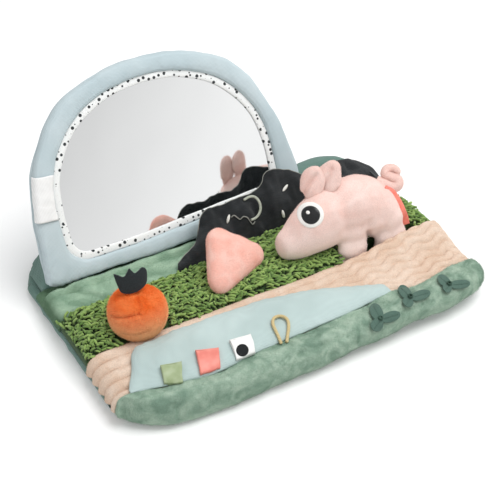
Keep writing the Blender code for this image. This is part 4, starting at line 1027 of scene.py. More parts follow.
nest_radius = 0.0300
pocket_x = (0.103, 0.196)
pocket_back_y = -0.0395
noodle_low_z = 18 * MM
noodle_front_y = -0.061
noodle_end_x = 0.2175
least_up_share = -0.2
# The last colour, near black, is painted shade at the roots of the noodles.
grass_yarn = chenille_yarn("green_chenille", "#9DBA6A", "#648544", "#1E2D16")
backing = soft_copy("chenille_backing", ["grass_strip"], 1.8 * MM, 3)
points = read_points(backing)
x, y, z = points.T
in_nest = np.linalg.norm(points[:, :2] - carrot_centre[:2], axis=1) < nest_radius
in_pocket = (x > pocket_x[0]) & (x < pocket_x[1]) & (y < pocket_back_y)
on_top = (z > noodle_low_z) & (y > noodle_front_y) & (np.abs(x) < noodle_end_x)
on_top &= read_points(backing, "normal")[:, 2] > least_up_share
store(backing, "planted", on_top & ~in_nest & ~in_pocket)
chenille_tree = grower("chenille", {
    "Spacing": "Float", "Length": "Float", "Thickness": "Float", "Combed": "Vector", "Disorder": "Float",
    "Seed": "Int"}, noodles_on)
noodles = run_tree(link("chenille_noodles", backing.data.copy()), chenille_tree, {
    "Spacing": 2.7 * MM, "Length": 10.0 * MM, "Thickness": 2.5 * MM,
    "Combed": (0.75, -0.5, 0.0), "Disorder": 1.05, "Seed": 7, "Finish": grass_yarn})
dress(backing, "mat", grass_backing, ["grass_strip"])
dress(noodles, "mat", grass_yarn, ["grass_strip"])

# %% [markdown]
# The mint panel is a crinkly cotton cushion with thin wadding. It lies on the ribs, and its
# back edge curves away from the front seam like a shore.

# %% The mint panel
stream_left = -0.2045
stream_right = 0.104
stream_floor = pile_top + 0.3 * MM
stream_back_y = -0.079
stream_back_shares = [
    (0, 1.0), (0.045, 0.52), (0.08, 0.13), (0.11, 0.01), (0.3, -0.03), (0.58, 0.0), (0.74, 0.18),
    (0.88, 0.46), (1, 0.78)]


def stream_front(x):
    return roll_seam(x) - 2.0 * MM


def stream_back(x):
    share = curve_through(stream_back_shares, (x - stream_left) / (stream_right - stream_left))
    return stream_back_y + (stream_front(x) + 3.6 * MM - stream_back_y) * share


def stream_top(x, y):
    near = np.minimum(y - stream_front(x), stream_back(x) - y)
    ends = np.minimum(x - stream_left, stream_right - x)
    return stream_floor + 1.8 * MM + 7.5 * MM * padded_edge(near, 24 * MM) * padded_edge(ends, 48 * MM)


def closer_at_ends(count):
    return (1 - np.cos(np.linspace(0, math.pi, count))) / 2


def make_stream():
    rings = []
    for x in stream_left + (stream_right - stream_left) * closer_at_ends(150):
        low, high = float(stream_front(x)), float(stream_back(x))
        over = low + (high - low) * closer_at_ends(40)
        under = np.linspace(high - 0.5 * MM, low + 0.5 * MM, 10)
        z = np.concatenate([stream_top(np.full(40, x), over), np.full(10, stream_floor - 0.8 * MM)])
        rings.append(np.column_stack([np.full(50, x), np.concatenate([over, under]), z]))
    return lofted("mint_panel", rings)


stream = make_stream()
rub(stream, 3)
points = read_points(stream)
edge = np.minimum(points[:, 1] - stream_front(points[:, 0]), stream_back(points[:, 0]) - points[:, 1])
puckers = np.sin(points[:, 0] * math.tau / 0.0135 + 2 * ripple(points, 40 * MM, 21))
crumple(stream, [(0.55, 30, 20)], fade(read_points(stream, "normal")[:, 2], 0.0, 0.5),
        0.3 * MM * (1 - fade(edge, 2 * MM, 14 * MM)) * puckers)
make_hollow(stream)
dress(stream, "mat", mint_cotton, ["stream_panel"])
mat_surface = surface_of(roll, path, stream)
grow_pile(path, path_plush, 0.42, 1.4, 0.14, (0, 0, 0), 0.7, 4)
grow_pile(roll, roll_plush, 0.85, 2.0, 0.16, (0.1, -0.4, -0.2), 0.6, 5)
points = read_points(roll)
points[:, 2] = np.maximum(points[:, 2], 0.1 * MM)
put_points(roll, points)

# %% [markdown]
# Behind the mirror a hill of the same canvas, stuffed with wadding, holds the mirror up.

# %% The canvas hill
hill_left_foot_x = (0.150, 0.215)
hill_foot_in = 8 * MM
hill_free_y = (0.085, 0.110)
hill = soft_copy("canvas_hill", ["hill_cover", "hill_wadding"], 2.4 * MM, 8, 0.5 * MM)
points = read_points(hill)
points[:, 0] += hill_foot_in * fade(-points[:, 0], *hill_left_foot_x)
put_points(hill, points)
crumple(hill, [(1.0, 60, 31), (0.4, 20, 32)], fade(points[:, 1], *hill_free_y))
dress(hill, "mat", canvas, ["hill_cover", "hill_wadding"])

# %% [markdown]
# The mirror panel leans back. Its frame is a padded ring of blue-grey cotton and its back one
# flat cushion. Every ring is one outline in the panel's own plane, drawn smaller each time.

# %% The panel's outline and plane
hinge_y = 0.0513
hinge_z = 0.0308
panel_x = -0.046
hinge_place = np.array((panel_x, hinge_y, hinge_z))
panel_up = np.array((0, math.sin(mirror_lean), math.cos(mirror_lean)))
window_arch = (0.133, 0.0221, 0.077, 0.198, 0.024, 2.15, 0.0095)
glass_arch = (0.125, 0.0301, 0.077, 0.190, 0.020, 2.15, 0.0095)
window_rise_start = -0.049
arch_points = 360


def arch_line(arch):
    """Even points (x, up) round an arch with a straight foot and rounded lower corners."""
    half_width, foot, spring, top, corner, power, rise = arch
    points = []
    for turn in np.radians(np.linspace(-90, 0, 10)):
        up = foot + corner + corner * math.sin(turn)
        points.append((half_width - corner + corner * math.cos(turn), up))
    for turn in np.radians(np.linspace(0, 180, 120)):
        across = math.copysign(abs(math.cos(turn)) ** (2 / power), math.cos(turn))
        points.append((half_width * across, spring + (top - spring) * abs(math.sin(turn)) ** (2 / power)))
    for turn in np.radians(np.linspace(180, 270, 10)):
        up = foot + corner + corner * math.sin(turn)
        points.append((-half_width + corner + corner * math.cos(turn), up))
    for step in np.linspace(0, 1, 30)[1:-1]:
        points.append(((half_width - corner) * (2 * step - 1), foot))
    line = np.array(points)
    low_share = np.clip((spring - line[:, 1]) / (spring - foot), 0, 1)
    climb = np.clip((line[:, 0] - window_rise_start) / (half_width - window_rise_start), 0, 1)
    line[:, 1] += rise * low_share * climb
    closed = np.concatenate([line, line[:1]])
    return read_evenly(closed, np.linspace(0, travelled(closed)[-1], arch_points, endpoint=False))


def on_panel(line, forward):
    """Turns points in the panel's plane, at a distance in front of it, into places in the room."""
    across, up = line[:, 0], line[:, 1]
    return hinge_place + np.outer(across, (1, 0, 0)) + np.outer(up, panel_up) + forward * panel_out


def height_on_panel(places):
    return (places - hinge_place) @ panel_up


def before_mirror(pixel, forward):
    """A pixel's place on the plane that lies a distance in front of the panel's own."""
    return seen_on_plane(pixel, hinge_place + forward * panel_out, panel_out)


# %% The padded frame and its back
left_rim_pixels = [
    (220, 58), (200, 53.7), (180, 51.7), (160, 52.8), (132.5, 58.7), (107.5, 67.5), (86, 80), (60, 100),
    (44.5, 125), (35.5, 150), (31, 170), (29.8, 182), (31, 200), (33.6, 225), (37, 240), (41, 260),
    (44.5, 275), (46.5, 283)]
right_rim_pixels = [
    (299.5, 178), (295, 160), (287.5, 140), (277.5, 117.5), (265, 97.5), (252.5, 80), (237.5, 66)]
frame_foot = 0.0054
frame_right_x = 0.157
frame_corner = 0.010
foot_inset = 0.03
frame_sections = [
    (0.03, -7.8), (-0.02, -6.6), (-0.04, -4.6), (-0.03, -2.4), (0.0, -0.6), (0.04, 0.9), (0.10, 2.0),
    (0.20, 2.7), (0.38, 3.1), (0.60, 3.1), (0.78, 2.6), (0.90, 1.7), (0.97, 0.5), (1.0, -1.0),
    (1.0, -4.5), (0.98, -7.8)]
back_sections = [
    (0.975, 8.4), (1.0, 9.6), (1.007, 11.4), (0.995, 13.4), (0.97, 15.0), (0.92, 16.6), (0.84, 17.7),
    (0.7, 18.5), (0.5, 19.0), (0.3, 19.2), (0.12, 19.3)]
panel_middle = np.array((0.0, 0.100))


def rim_line():
    """The sewn outline of the frame: its right rim is seen at the front, its left rim at the back."""
    points = [(frame_right_x - frame_corner, frame_foot), (frame_right_x, frame_foot + frame_corner)]
    for pixels, forward in ((right_rim_pixels, -1 * MM), (left_rim_pixels, -13 * MM)):
        places = [before_mirror(pixel, forward) for pixel in pixels]
        points += [(place[0] - panel_x, height_on_panel(place)) for place in places]
    left_x = points[-1][0]
    points += [(left_x + 2 * MM, frame_foot + 3 * MM), (left_x + frame_corner, frame_foot)]
    points += [(x, frame_foot) for x in np.linspace(left_x + foot_inset, frame_right_x - foot_inset, 12)]
    return even_route(points, arch_points, closed=True)


rim = rim_line()
window_line = arch_line(window_arch)
frame_rings = np.array([
    on_panel(rim + (window_line - rim) * share, forward * MM) for share, forward in frame_sections])
frame_front = lofted("mirror_frame", frame_rings, looped=True)
points = read_points(frame_front)
left_corner = hinge_place + (-0.145, 0.008, 0.014)
near_corner = np.exp(-(np.linalg.norm(points - left_corner, axis=1) / (34 * MM)) ** 2)
outer_wall = np.repeat([1 - fade(np.array(share), 0.05, 0.5) for share, _ in frame_sections], arch_points)
gathers = np.sin((points[:, 0] + points[:, 2]) * math.tau / (9 * MM))
crumple(frame_front, [(0.55, 55, 41), (0.25, 18, 42)], more=outer_wall * near_corner * 0.7 * MM * gathers)
dress(frame_front, "mirror_panel", frame_cotton, ["mirror_front_cover"])

frame_back = lofted("mirror_back_cushion", [
    on_panel(panel_middle + (rim - panel_middle) * share, -back * MM) for share, back in back_sections])
crumple(frame_back, [(0.5, 50, 43), (0.25, 16, 44)])
dress(frame_back, "mirror_panel", frame_cotton, ["mirror_back_cover"])

# %% [markdown]
# The edge of the mirror film is bound with a folded cotton tape, white with dark dots from a
# Voronoi pattern: each cell has one dot of its own size, and some cells have none.

# %% Binding, tag and mirror finishes
def dotted_tape(name):
    def paint(tree, place):
        weave, turned = turned_threads(tree, place, (mirror_lean, 0, 0), thread_pitch, "XZ")
        parts = add(tree, "ShaderNodeSeparateXYZ", [turned]).node.outputs
        flat = add(tree, "ShaderNodeCombineXYZ", [parts["X"], parts["Z"]])
        cells = add(tree, "ShaderNodeTexVoronoi", {
            "Vector": flat, "Scale": 1 / (6.2 * MM), "Randomness": 0.8}, voronoi_dimensions="2D").node.outputs
        own = add(tree, "ShaderNodeSeparateColor", [cells["Color"]])
        radius = add(tree, "ShaderNodeMapRange", [own, 0.2, 0.9, 0.02, 0.31])
        past = worked_out(tree, cells["Distance"], ("SUBTRACT", radius))
        white = toned(tree, weave, (0.2, 1.8), "#E9EBEA", "#F5F6F5")
        return toned(tree, past, (-0.03, 0.03, 1.0, 0.0), white, "#3A3D3F"), weave
    return finish(name, [], paint, 0.85, 0.2, {}, (0.1, 1.0))


def film_mirror(name):
    """Aluminium on a plastic film: bright and a little wavy, because the film is not stiff."""
    def paint(tree, place, waves):
        return linear("#F8F9F9"), waves
    return finish(name, [(70, 1.0, 0.0)], paint, 0.045, 0.5, {}, (0.35, 0.5), metal=1.0)


binding_sections = [
    (0, -3.4), (0, -2.0), (0.08, -1.5), (0.3, -1.2), (0.6, -1.25), (0.88, -1.6), (1, -2.3), (1, -3.4)]
step = np.arange(arch_points)
tape_pucker = 0.0022 * np.sin(step * math.tau / 24 + 1.5 * np.sin(step / 19))
binding_rings = []
for share, forward in binding_sections:
    line = arch_line([near + (far - near) * share for near, far in zip(window_arch, glass_arch)])
    away = (line - panel_middle) * (1 + share * tape_pucker)[:, None]
    binding_rings.append(on_panel(panel_middle + away, forward * MM))
binding = lofted("dotted_binding_tape", binding_rings, looped=True)
dress(binding, "mirror_panel", dotted_tape("white_dotted_cotton"), ["dotted_binding"])

for node, material in (("mirror_sheet", film_mirror("mirror_film_on_board")),
                       ("mirror_board", woven_cotton("pressed_greyboard", "#8E8D88", "#7F7E79"))):
    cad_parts[node].data.materials.clear()
    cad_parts[node].data.materials.append(material)

# %% The blank tag and the piping of the hinge
white_satin = ribbon_satin("white_satin_ribbon", "#F4F4F3", "#ECECEB", gloss=0.5)
tag_low, tag_high = 0.0785, 0.1260
tag_fall = 0.4 * MM
tag_grid = []
for number, ring in enumerate(frame_rings[2:14]):
    heights = height_on_panel(ring)
    side = np.flatnonzero((ring[:, 0] < panel_x - 0.08) & (heights > 0.05) & (heights < 0.16))
    side = side[np.argsort(heights[side])]
    stops = np.linspace(tag_low, tag_high, 30) - number * tag_fall
    tag_grid.append(np.stack([np.interp(stops, heights[side], ring[side, axis]) for axis in range(3)], 1))
tag = cloth_sheet("blank_white_tag", np.array(tag_grid) + np.array((-0.4, -1.3, 0.56)) * MM, 0.5 * MM)
crumple(tag, [(0.2, 20, 45)])
dress(tag, "mirror_panel", white_satin, ["blank_tag"])

piping_half = 0.135
piping_route = [hinge_place + (piping_half * side, 0, 0) for side in np.linspace(-1, 1, 60)]
dress(tube_along("hinge_piping_cord", piping_route, 2.7 * MM, 14), "mat", frame_cotton, ["hinge_piping"])

# %% [markdown]
# The soil flap is black crinkle cotton, sewn down behind the grass. It stands up in front of
# the mirror in two soft humps, and a second strip goes over the crest of the hill.

# %% The soil flap
flap_normal = np.array((0, -0.5, 0.866))
flap_thickness = 1.6 * MM
flap_edge_pixels = [
    ((178, 264), 33), ((184, 256), 31), ((190, 250), 29), ((196, 242), 27), ((198, 229), 25),
    ((200, 218), 24), ((206, 210), 23), ((217, 206), 22), ((237, 199), 22), ((254, 191), 22),
    ((261, 184), 22), ((263, 176), 22), ((268, 171), 22), ((278, 169), 22), ((291, 171), 21),
    ((302, 175), 19)]
flap_foot_x = [
    -0.078, -0.074, -0.069, -0.063, -0.056, -0.049, -0.040, -0.026, 0.000, 0.028, 0.040, 0.050, 0.060,
    0.074, 0.092, 0.112]
crest_pixels = [
    (333.0, 163.0), (342.5, 160.5), (352.5, 161.3), (365.0, 165.0), (373.5, 170.3), (380.0, 179.0)]


def foot_on_pile(x, behind):
    """A place on the pile, a little behind the grass."""
    back = float(grass_back(x))
    y = back + behind
    height = field_top(x, y, (y - back) / (field_back_y - back), back, field_back_y)
    return x, y, float(height) + 0.8 * MM


def flap_grid(foot, edge, columns, rows, bulge, fold, pitch, seed):
    """A sheet from a foot line to an edge line, which bulges forward and hangs in folds."""
    foot = even_route(foot, columns)
    edge = even_route(edge, columns)
    up = np.linspace(0, 1, rows)[None, :, None]
    grid = foot[:, None] + (edge - foot)[:, None] * up
    up = up[:, :, 0]
    tall = fade(np.linalg.norm(edge - foot, axis=1), 4 * MM, 30 * MM)[:, None]
    around = np.arange(columns)[:, None] / columns
    waves = np.sin(math.tau * around * pitch + 3.0 * up + 1.3 * np.sin(math.tau * around * 1.7))
    soft = 1.6 * ripple(grid, 30 * MM, seed) * fade(up, 0, 0.3) + 0.7 * ripple(grid, 13 * MM, seed + 1)
    amount = tall * (np.sin(math.pi * up ** 0.8) * (bulge + fold * waves) + soft)
    return grid + amount[:, :, None] * MM * flap_normal


def make_flap(name, shape):
    """A sheet of the flap."""
    piece = cloth_sheet(name, shape, flap_thickness)
    dress(piece, "mat", crinkle_cloth, ["soil_flap"])
    return piece


def fold_with_mirror(piece):
    """Gives a piece a mesh of its own."""
    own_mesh(piece)


flap_foot = [foot_on_pile(x, 2 * MM) for x in flap_foot_x]
flap_edge = [before_mirror(pixel, forward * MM) for pixel, forward in flap_edge_pixels]
flap_shape = flap_grid(flap_foot, flap_edge, 150, 34, 6.0, 1.8, 4.0, 51)
flap = make_flap("soil_flap_front", flap_shape)
flap_surface = surface_of(flap)

hill_surface = surface_of(hill)
crest_foot = [foot_on_pile(x, 3 * MM) for x in np.linspace(0.100, 0.212, 9)]
crest_edge = [seen_at(pixel, hill_surface)[0] + flap_normal * 1.6 * MM for pixel in crest_pixels]
crest_edge += [(0.206, 0.0600, 0.0430), (0.212, 0.0530, 0.0390)]
crest_shape = flap_grid(crest_foot, crest_edge, 80, 30, 7.0, 1.6, 3.0, 52)
for place in crest_shape.reshape(-1, 3):
    under = dropped(hill_surface, place, 0.2)
    if under is not None:
        place[2] = max(place[2], under + 2.2 * MM)
make_flap("soil_flap_over_hill", crest_shape)

# %% Seeds, edging and cords of the flap
pale_thread = wool_felt("pale_grey_thread", "#A3A49D", "#85867F")
seed_thread = wool_felt("white_seed_thread", "#F2F2EC", "#DEDED6")
root_loop_diameter = 3.0 * MM
seed_pixels = [
    ((227.0, 223.5), (229.3, 214.5)), ((282.5, 191.5), (287.5, 184.5)), ((282.2, 210.0), (284.0, 218.0))]
scallop_pixels = [
    (231.3, 217.4), (234.0, 215.2), (236.8, 217.2), (240.0, 219.2), (243.3, 216.6), (247.0, 217.6),
    (250.0, 221.6), (252.4, 224.0), (254.6, 221.2)]
root_pixels = [
    ((251.0, 220.5), 1.2), ((256.0, 218.5), 4.0), ((259.0, 212.5), 6.0), ((257.8, 205.0), 7.0),
    ((253.5, 199.5), 6.0), ((248.5, 198.5), 4.0), ((243.5, 200.5), 1.2)]


def flap_thread(name, route, radius, material, sides=6):
    """A thread that is sewn to the flap."""
    thread = tube_along(name, route, radius, sides)
    dress(thread, "mat", material, [])
    fold_with_mirror(thread)


def free_cord(name, route, diameter, material, node):
    """A cord that hangs or lies freely between its two sewn ends."""
    cord = tube_along(name, route, diameter / 2, 12)
    dress(cord, "mat", material, [node])
    return cord


flap_thread("flap_edge_thread", flap_shape[:, -1] + flap_normal * 0.9 * MM, 0.4 * MM, pale_thread)
swollen = 1.7 * MM * np.sqrt(np.clip(1 - np.linspace(-1, 1, 9) ** 2, 0.03, 1))
for number, ends in enumerate(seed_pixels, start=1):
    line, normals = line_on(flap_surface, ends, 9)
    flap_thread(f"flap_seed_{number}", line + normals * 0.5 * MM, swollen, seed_thread, 10)
line, normals = line_on(flap_surface, scallop_pixels, 50)
flap_thread("flap_scallop_thread", line + normals * 0.8 * MM, 0.6 * MM, pale_thread)

root_points = [seen_at(pixel, flap_surface)[0] + flap_normal * out * MM for pixel, out in root_pixels]
cord_cotton = laid_cord("pale_grey_cord", "#C6CABC", "#9FA596")
root_route = even_route(root_points, 60)
root_loop = free_cord(
    "flap_root_loop", root_route, root_loop_diameter, cord_cotton, "root_loop")
fold_with_mirror(root_loop)
fold_with_mirror(flap)

# %% [markdown]
# A loop of cotton string is sewn into the seam in front of the mint panel. It lies there as
# it fell, so its route is a few pixels on the panel.

# %% The string loop
string_diameter = 3.4 * MM
string_pixels = [
    (281.3, 345.0), (279.0, 339.5), (275.6, 332.3), (272.9, 326.0), (273.6, 320.8), (278.0, 318.4),
    (283.5, 318.8), (287.6, 322.3), (288.6, 329.0), (287.6, 336.6), (286.8, 343.5)]
string_points = np.array([seen_at(pixel, mat_surface)[0] for pixel in string_pixels])
string_points[:, 2] += string_diameter / 2 + 1.2 * MM * np.sin(np.linspace(0, math.pi, len(string_pixels)))
string_cotton = laid_cord("beige_string", "#DCCB9C", "#B9A473")
string_route = even_route(string_points, 110)
free_cord("string_loop_tube", string_route, string_diameter, string_cotton, "string_loop")

# %% [markdown]
# The carrot is a stuffed ball of orange plush, with two curved darts pulled in by rows of
# stitches. On top stands a little crown, cut from black felt.

# %% The carrot
# The pale foot colour, below 50 to 76 mm, is painted light on the carrot's lower half.
carrot_plush = short_plush(
    "orange_plush", "#FF9A55", "#F47B35", 16, bloom=0.5, foot=("#FFD6A4", 50, 76, 0.85))
carrot_radius = 0.0302
carrot_half_height = 0.0262
carrot_sides = 110
carrot_profile = [
    (0.02, -1.0), (0.30, -0.98), (0.62, -0.82), (0.88, -0.50), (0.99, -0.14), (1.0, 0.12), (0.93, 0.46),
    (0.72, 0.78), (0.45, 0.96), (0.20, 1.0), (0.03, 0.95)]
dart_pixels = [
    [(111.5, 316.0), (116.0, 317.5), (127, 317.0), (140, 314.0)],
    [(121.0, 333.0), (133, 335.0), (149, 331.0)]]
seam_pixels = [(137.0, 291.0), (138.6, 300), (140, 309)]

cosines, sines = circle(carrot_sides)
carrot = lofted("carrot_ball", [
    carrot_centre + np.column_stack([
        carrot_radius * across * cosines, carrot_radius * across * sines,
        np.full(carrot_sides, carrot_half_height * up)])
    for across, up in even_route(carrot_profile, 64)])
swell(carrot, 4.5 * MM, 1.0 * MM)
surface = surface_of(carrot)
points = read_points(carrot)
for pixels in dart_pixels:
    push_out(carrot, -crease(points, surface, pixels, 24, 2.0, 2.0))
push_out(carrot, -crease(points, surface, seam_pixels, 14, 0.9, 1.6))
push_out(carrot, 0.45 * MM * ripple(points, 22 * MM, 61))
surface = surface_of(carrot)
carrot_thread = wool_felt("dark_orange_thread", "#B5501A", "#8E3B10")
dart_lines = []
for pixels in dart_pixels:
    line, normals = line_on(surface, pixels, 20)
    dart_lines.append(line + normals * 0.15 * MM)
dart_stitches = stitches("carrot_dart_stitches", dart_lines, carrot_thread, 2.6, 1.6, 0.25)
dress(dart_stitches, "carrot_toy", carrot_thread, [])
dress(carrot, "carrot_toy", carrot_plush, ["carrot_body"])
grow_pile(carrot, carrot_plush, 3.2, 2.4, 0.15, (0, 0, -0.3), 0.6, 6)

# %% The felt crown
crown_outline = [
    (114.2, 275.3), (119.0, 277.0), (124.2, 277.0), (126.7, 273.0), (129.2, 268.6), (132.0, 271.2),
    (135.0, 273.3), (139.0, 270.8), (142.5, 268.0), (146.7, 270.4), (147.6, 277.0), (146.3, 284.5),
    (139.0, 290.5), (130.0, 293.5), (121.7, 293.0), (118.0, 287.0), (115.6, 281.0)]
felt_edge = [
    (0.05, -0.5), (0.5, -0.5), (0.94, -0.5), (1.0, -0.3), (1.0, 0.3), (0.94, 0.5), (0.5, 0.5), (0.05, 0.5)]


def cut_shape(name, pixels, count, place, normal, sections, thickness, bend):
    """A shape that is cut along pixels, laid on a plane, and bent back at its sides.

    Each section is a share of the outline and its level in thicknesses.
    """
    normal = Vector(normal).normalized()
    outline = even_route([seen_on_plane(pixel, place, normal) for pixel in pixels], count, closed=True)
    middle = outline.mean(0)
    aside = np.array(normal.cross(Vector((0, 0, 1))).normalized()[:])
    rings = []
    for share, level in sections:
        ring = middle + (outline - middle) * share
        back = ((ring - middle) @ aside) ** 2 * bend
        rings.append(ring + np.array(normal[:]) * (thickness * level - back[:, None]))
    return lofted(name, rings)


crown_place = carrot_centre + (0, -0.002, 0.030)
crown_facing = (-0.24, -0.92, 0.30)
crown_thickness = 3.2 * MM
crown = cut_shape(
    "carrot_felt_crown", crown_outline, 120, crown_place, crown_facing, felt_edge, crown_thickness, 12)
crown_felt = wool_felt("black_felt", "#33383A", "#222627")
dress(crown, "carrot_toy", crown_felt, ["carrot_leaves"])

# %% [markdown]
# The triangle is a small three-cornered cushion of salmon velboa, sewn along its lower edge.

# %% The triangle
salmon_velboa = short_plush("salmon_velboa", "#FFD8CC", "#FCC7B8", 18, 0.9, 0.3)
triangle = soft_copy("triangle_toy", ["triangle_cushion"], 1.3 * MM, 10)
swell(triangle, 4.5 * MM, 1.6 * MM)
crumple(triangle, [(0.35, 20, 71)])
dress(triangle, "triangle", salmon_velboa, ["triangle_cushion"])
grow_pile(triangle, salmon_velboa, 3.0, 1.3, 0.12, (0, 0, -0.5), 0.5, 7)

# %% [markdown]
# The pig is sewn from pale pink velboa. One skin is wrapped round all its solids at once and
# rubbed smooth, so that the parts flow into each other as stuffed cloth does.

# %% The pig's body
# The pale foot colour, below 50 to 90 mm, is painted light on the pig's lower sides.
pig_velboa = short_plush("pale_pink_velboa", "#F8DED6", "#F4D2C8", 24, 0.9, 0.35, ("#FFEFE9", 50, 90, 0.85))
pig_middle_y = -0.028
pig_nodes = ["pig_body", "pig_head", "pig_front_leg", "pig_rear_leg"]
pig_lumps = [
    ((0.137, -0.038, 0.056), (0.032, 0.017, 0.021)), ((0.135, -0.024, 0.050), (0.045, 0.022, 0.014)),
    ((0.112, -0.040, 0.058), (0.024, 0.016, 0.020)), ((0.095, -0.038, 0.062), (0.022, 0.015, 0.014)),
    ((0.160, -0.040, 0.056), (0.022, 0.017, 0.022)), ((0.137, -0.043, 0.064), (0.030, 0.014, 0.016)),]
pig_folds = [
    ([(369.0, 233.0), (370.5, 238.0), (371.5, 242.0)], 5.0, 2.2),
    ([(369.5, 222.0), (368.5, 230.0), (370.5, 240.0)], 1.6, 4.0),
    ([(337, 253), (343, 258), (348, 262)], 1.5, 3.0),]
pig = soft_copy("pig_skin", pig_nodes, 1.5 * MM, 14, 0.5 * MM, pig_lumps)
swell(pig, 5 * MM, 1.5 * MM)
rub(pig, 10)
points = read_points(pig)
at_head = 1 - fade(points[:, 0], 0.075, 0.110)
points[:, 1] -= at_head * np.maximum(points[:, 1] - pig_middle_y, 0) * 0.34
put_points(pig, points)
surface = surface_of(pig)
points = read_points(pig)
for pixels, depth, width in pig_folds:
    push_out(pig, -crease(points, surface, pixels, 14, depth, width))
push_out(pig, 0.4 * MM * ripple(points, 26 * MM, 81))
pig_surface = surface_of(pig)
dress(pig, "pig_toy", pig_velboa, pig_nodes)

# %% The pig's ears and tail
ear_facing = (-0.45, -0.75, 0.45)
pillow_shares = [*np.linspace(0.04, 0.9, 9), 0.96, 0.99]
pillow_edge = [(share, -math.sqrt(1 - share**2)) for share in pillow_shares] + [(1.0, 0.0)]
pillow_edge += [(share, -level) for share, level in pillow_edge[-2::-1]]
ears = [
    ("pig_ear_near", "pig_near_ear", (0.090, -0.030, 0.112), 4.6 * MM, [(321, 187), (327, 180), (332, 170)], [
        (317.0, 177), (318.5, 169.0), (323.0, 164.5), (329.5, 160.8), (334.5, 160.2), (339.0, 163.5),
        (341.0, 171), (341.5, 180), (338.5, 188), (331, 192.5), (322.0, 190)]),
    ("pig_ear_far", "pig_far_ear", (0.081, -0.030, 0.113), 4.2 * MM, [(303, 194), (309, 185), (316, 176)], [
        (299.5, 184), (301.5, 176), (306.5, 169.5), (313.0, 166.3), (319.0, 167.0), (323.5, 173),
        (325.0, 182), (323.0, 191), (316.5, 197.5), (306.5, 198.0), (300.8, 192)]),
]
for name, node, place, half_thickness, fold, pixels in ears:
    ear = cut_shape(name, pixels, 90, place, ear_facing, pillow_edge, half_thickness, 9)
    rub(ear, 2)
    crumple(ear, [(0.5, 16, 82)], more=-crease(read_points(ear), surface_of(ear), fold, 12, 2.8, 3.2))
    dress(ear, "pig_toy", pig_velboa, [node])
    grow_pile(ear, pig_velboa, 2.5, 1.2, 0.12, (0, 0, -0.4), 0.5, 8)

tail_points = 90
tail_place = (0.180, -0.018, 0.085)
tail_pixels = [
    (377, 181), (384, 184), (391.5, 187), (397, 185.5), (397.5, 180.5), (391.5, 177.5), (385.5, 174.5),
    (387.0, 169.3), (393.0, 168.3), (397.0, 171.5), (396.0, 176.0)]
tail_route = even_route([seen_on_plane(pixel, tail_place, camera_back) for pixel in tail_pixels], tail_points)
tail_route += np.outer(np.sin(np.linspace(0, math.pi * 1.5, tail_points)) * 3 * MM, to_camera)
tail_radius = MM * np.interp(
    np.linspace(0, 1, tail_points), [0, 0.3, 0.6, 0.92, 1.0], [6.0, 6.0, 5.4, 4.6, 2.0])
tail = tube_along("pig_curled_tail", tail_route, tail_radius, 18)
dress(tail, "pig_toy", pig_velboa, ["pig_tail"])
grow_pile(tail, pig_velboa, 2.5, 1.2, 0.12, (0, 0, -0.4), 0.5, 9)

# %% [markdown]
# Each eye is a round of white felt with a shiny black round on it and a small glint. Every
# point of a flat disc is dropped straight onto the skin, and lifted by the felt's thickness.

# %% The pig's eyes
def black_vinyl(name):
    def paint(tree, place, uneven):
        specks = add(tree, "ShaderNodeMapRange", [uneven, 0.4, 0.7])
        return toned(tree, specks, (0.0, 1.0), "#0E0F10", "#191B1D"), specks
    return finish(name, [(1.5, 3.0, 0.0)], paint, 0.28, 0.5, {}, (0.05, 0.5))


round_sections = [
    (1.0, -1.0), (1.0, 0.35), (0.97, 0.75), (0.9, 0.95), (0.7, 1.0), (0.4, 1.05), (0.05, 1.1)]


def laid_round(name, centre, out, radius, thickness, material, nodes=()):
    """A round of cloth that follows the pig's skin."""
    out = Vector(out).normalized()
    first = out.cross(Vector((0, 0, 1))).normalized()
    up = first.cross(out)
    rings = []
    for share, level in round_sections:
        ring = []
        for cosine, sine in zip(*circle(40)):
            over = Vector(centre) + (first * cosine + up * sine) * radius * MM * share
            place, _, _, _ = pig_surface.ray_cast(over + out * 0.03, -out)
            ring.append(((place or over) + out * thickness * MM * level)[:])
        rings.append(ring)
    dress(lofted(name, rings), "pig_toy", material, nodes)


white_felt = wool_felt("white_felt", "#F8F7F4", "#EEEDE8")
black_gloss = black_vinyl("black_vinyl")
far_eye_ahead = 2 * MM
far_eye_lower = 20 * MM
far_side_y = 0.1
near_eye, near_pupil, near_glint = [
    seen_at(pixel, pig_surface)[0] for pixel in ((311.0, 215.2), (310.8, 215.0), (307.6, 212.3))]
far_side = Vector((near_eye[0] + far_eye_ahead, far_side_y, near_eye[2] - far_eye_lower))
far_eye, _, _, _ = pig_surface.ray_cast(far_side, Vector((0, -1, 0)))
near_out = (-0.34, -0.78, 0.52)
far_out = (-0.20, 0.97, -0.10)
laid_round("pig_eye_near_felt", near_eye, near_out, 13.8, 1.2, white_felt, ["pig_near_eye_white"])
laid_round("pig_eye_near_pupil", near_pupil, near_out, 9.9, 2.2, black_gloss, ["pig_near_eye_black"])
laid_round("pig_eye_near_glint", near_glint, near_out, 2.0, 2.9, white_felt)
laid_round("pig_eye_far_felt", far_eye, far_out, 9.5, 1.2, white_felt, ["pig_far_eye_white"])
laid_round("pig_eye_far_pupil", far_eye, far_out, 7.0, 2.2, black_gloss, ["pig_far_eye_black"])

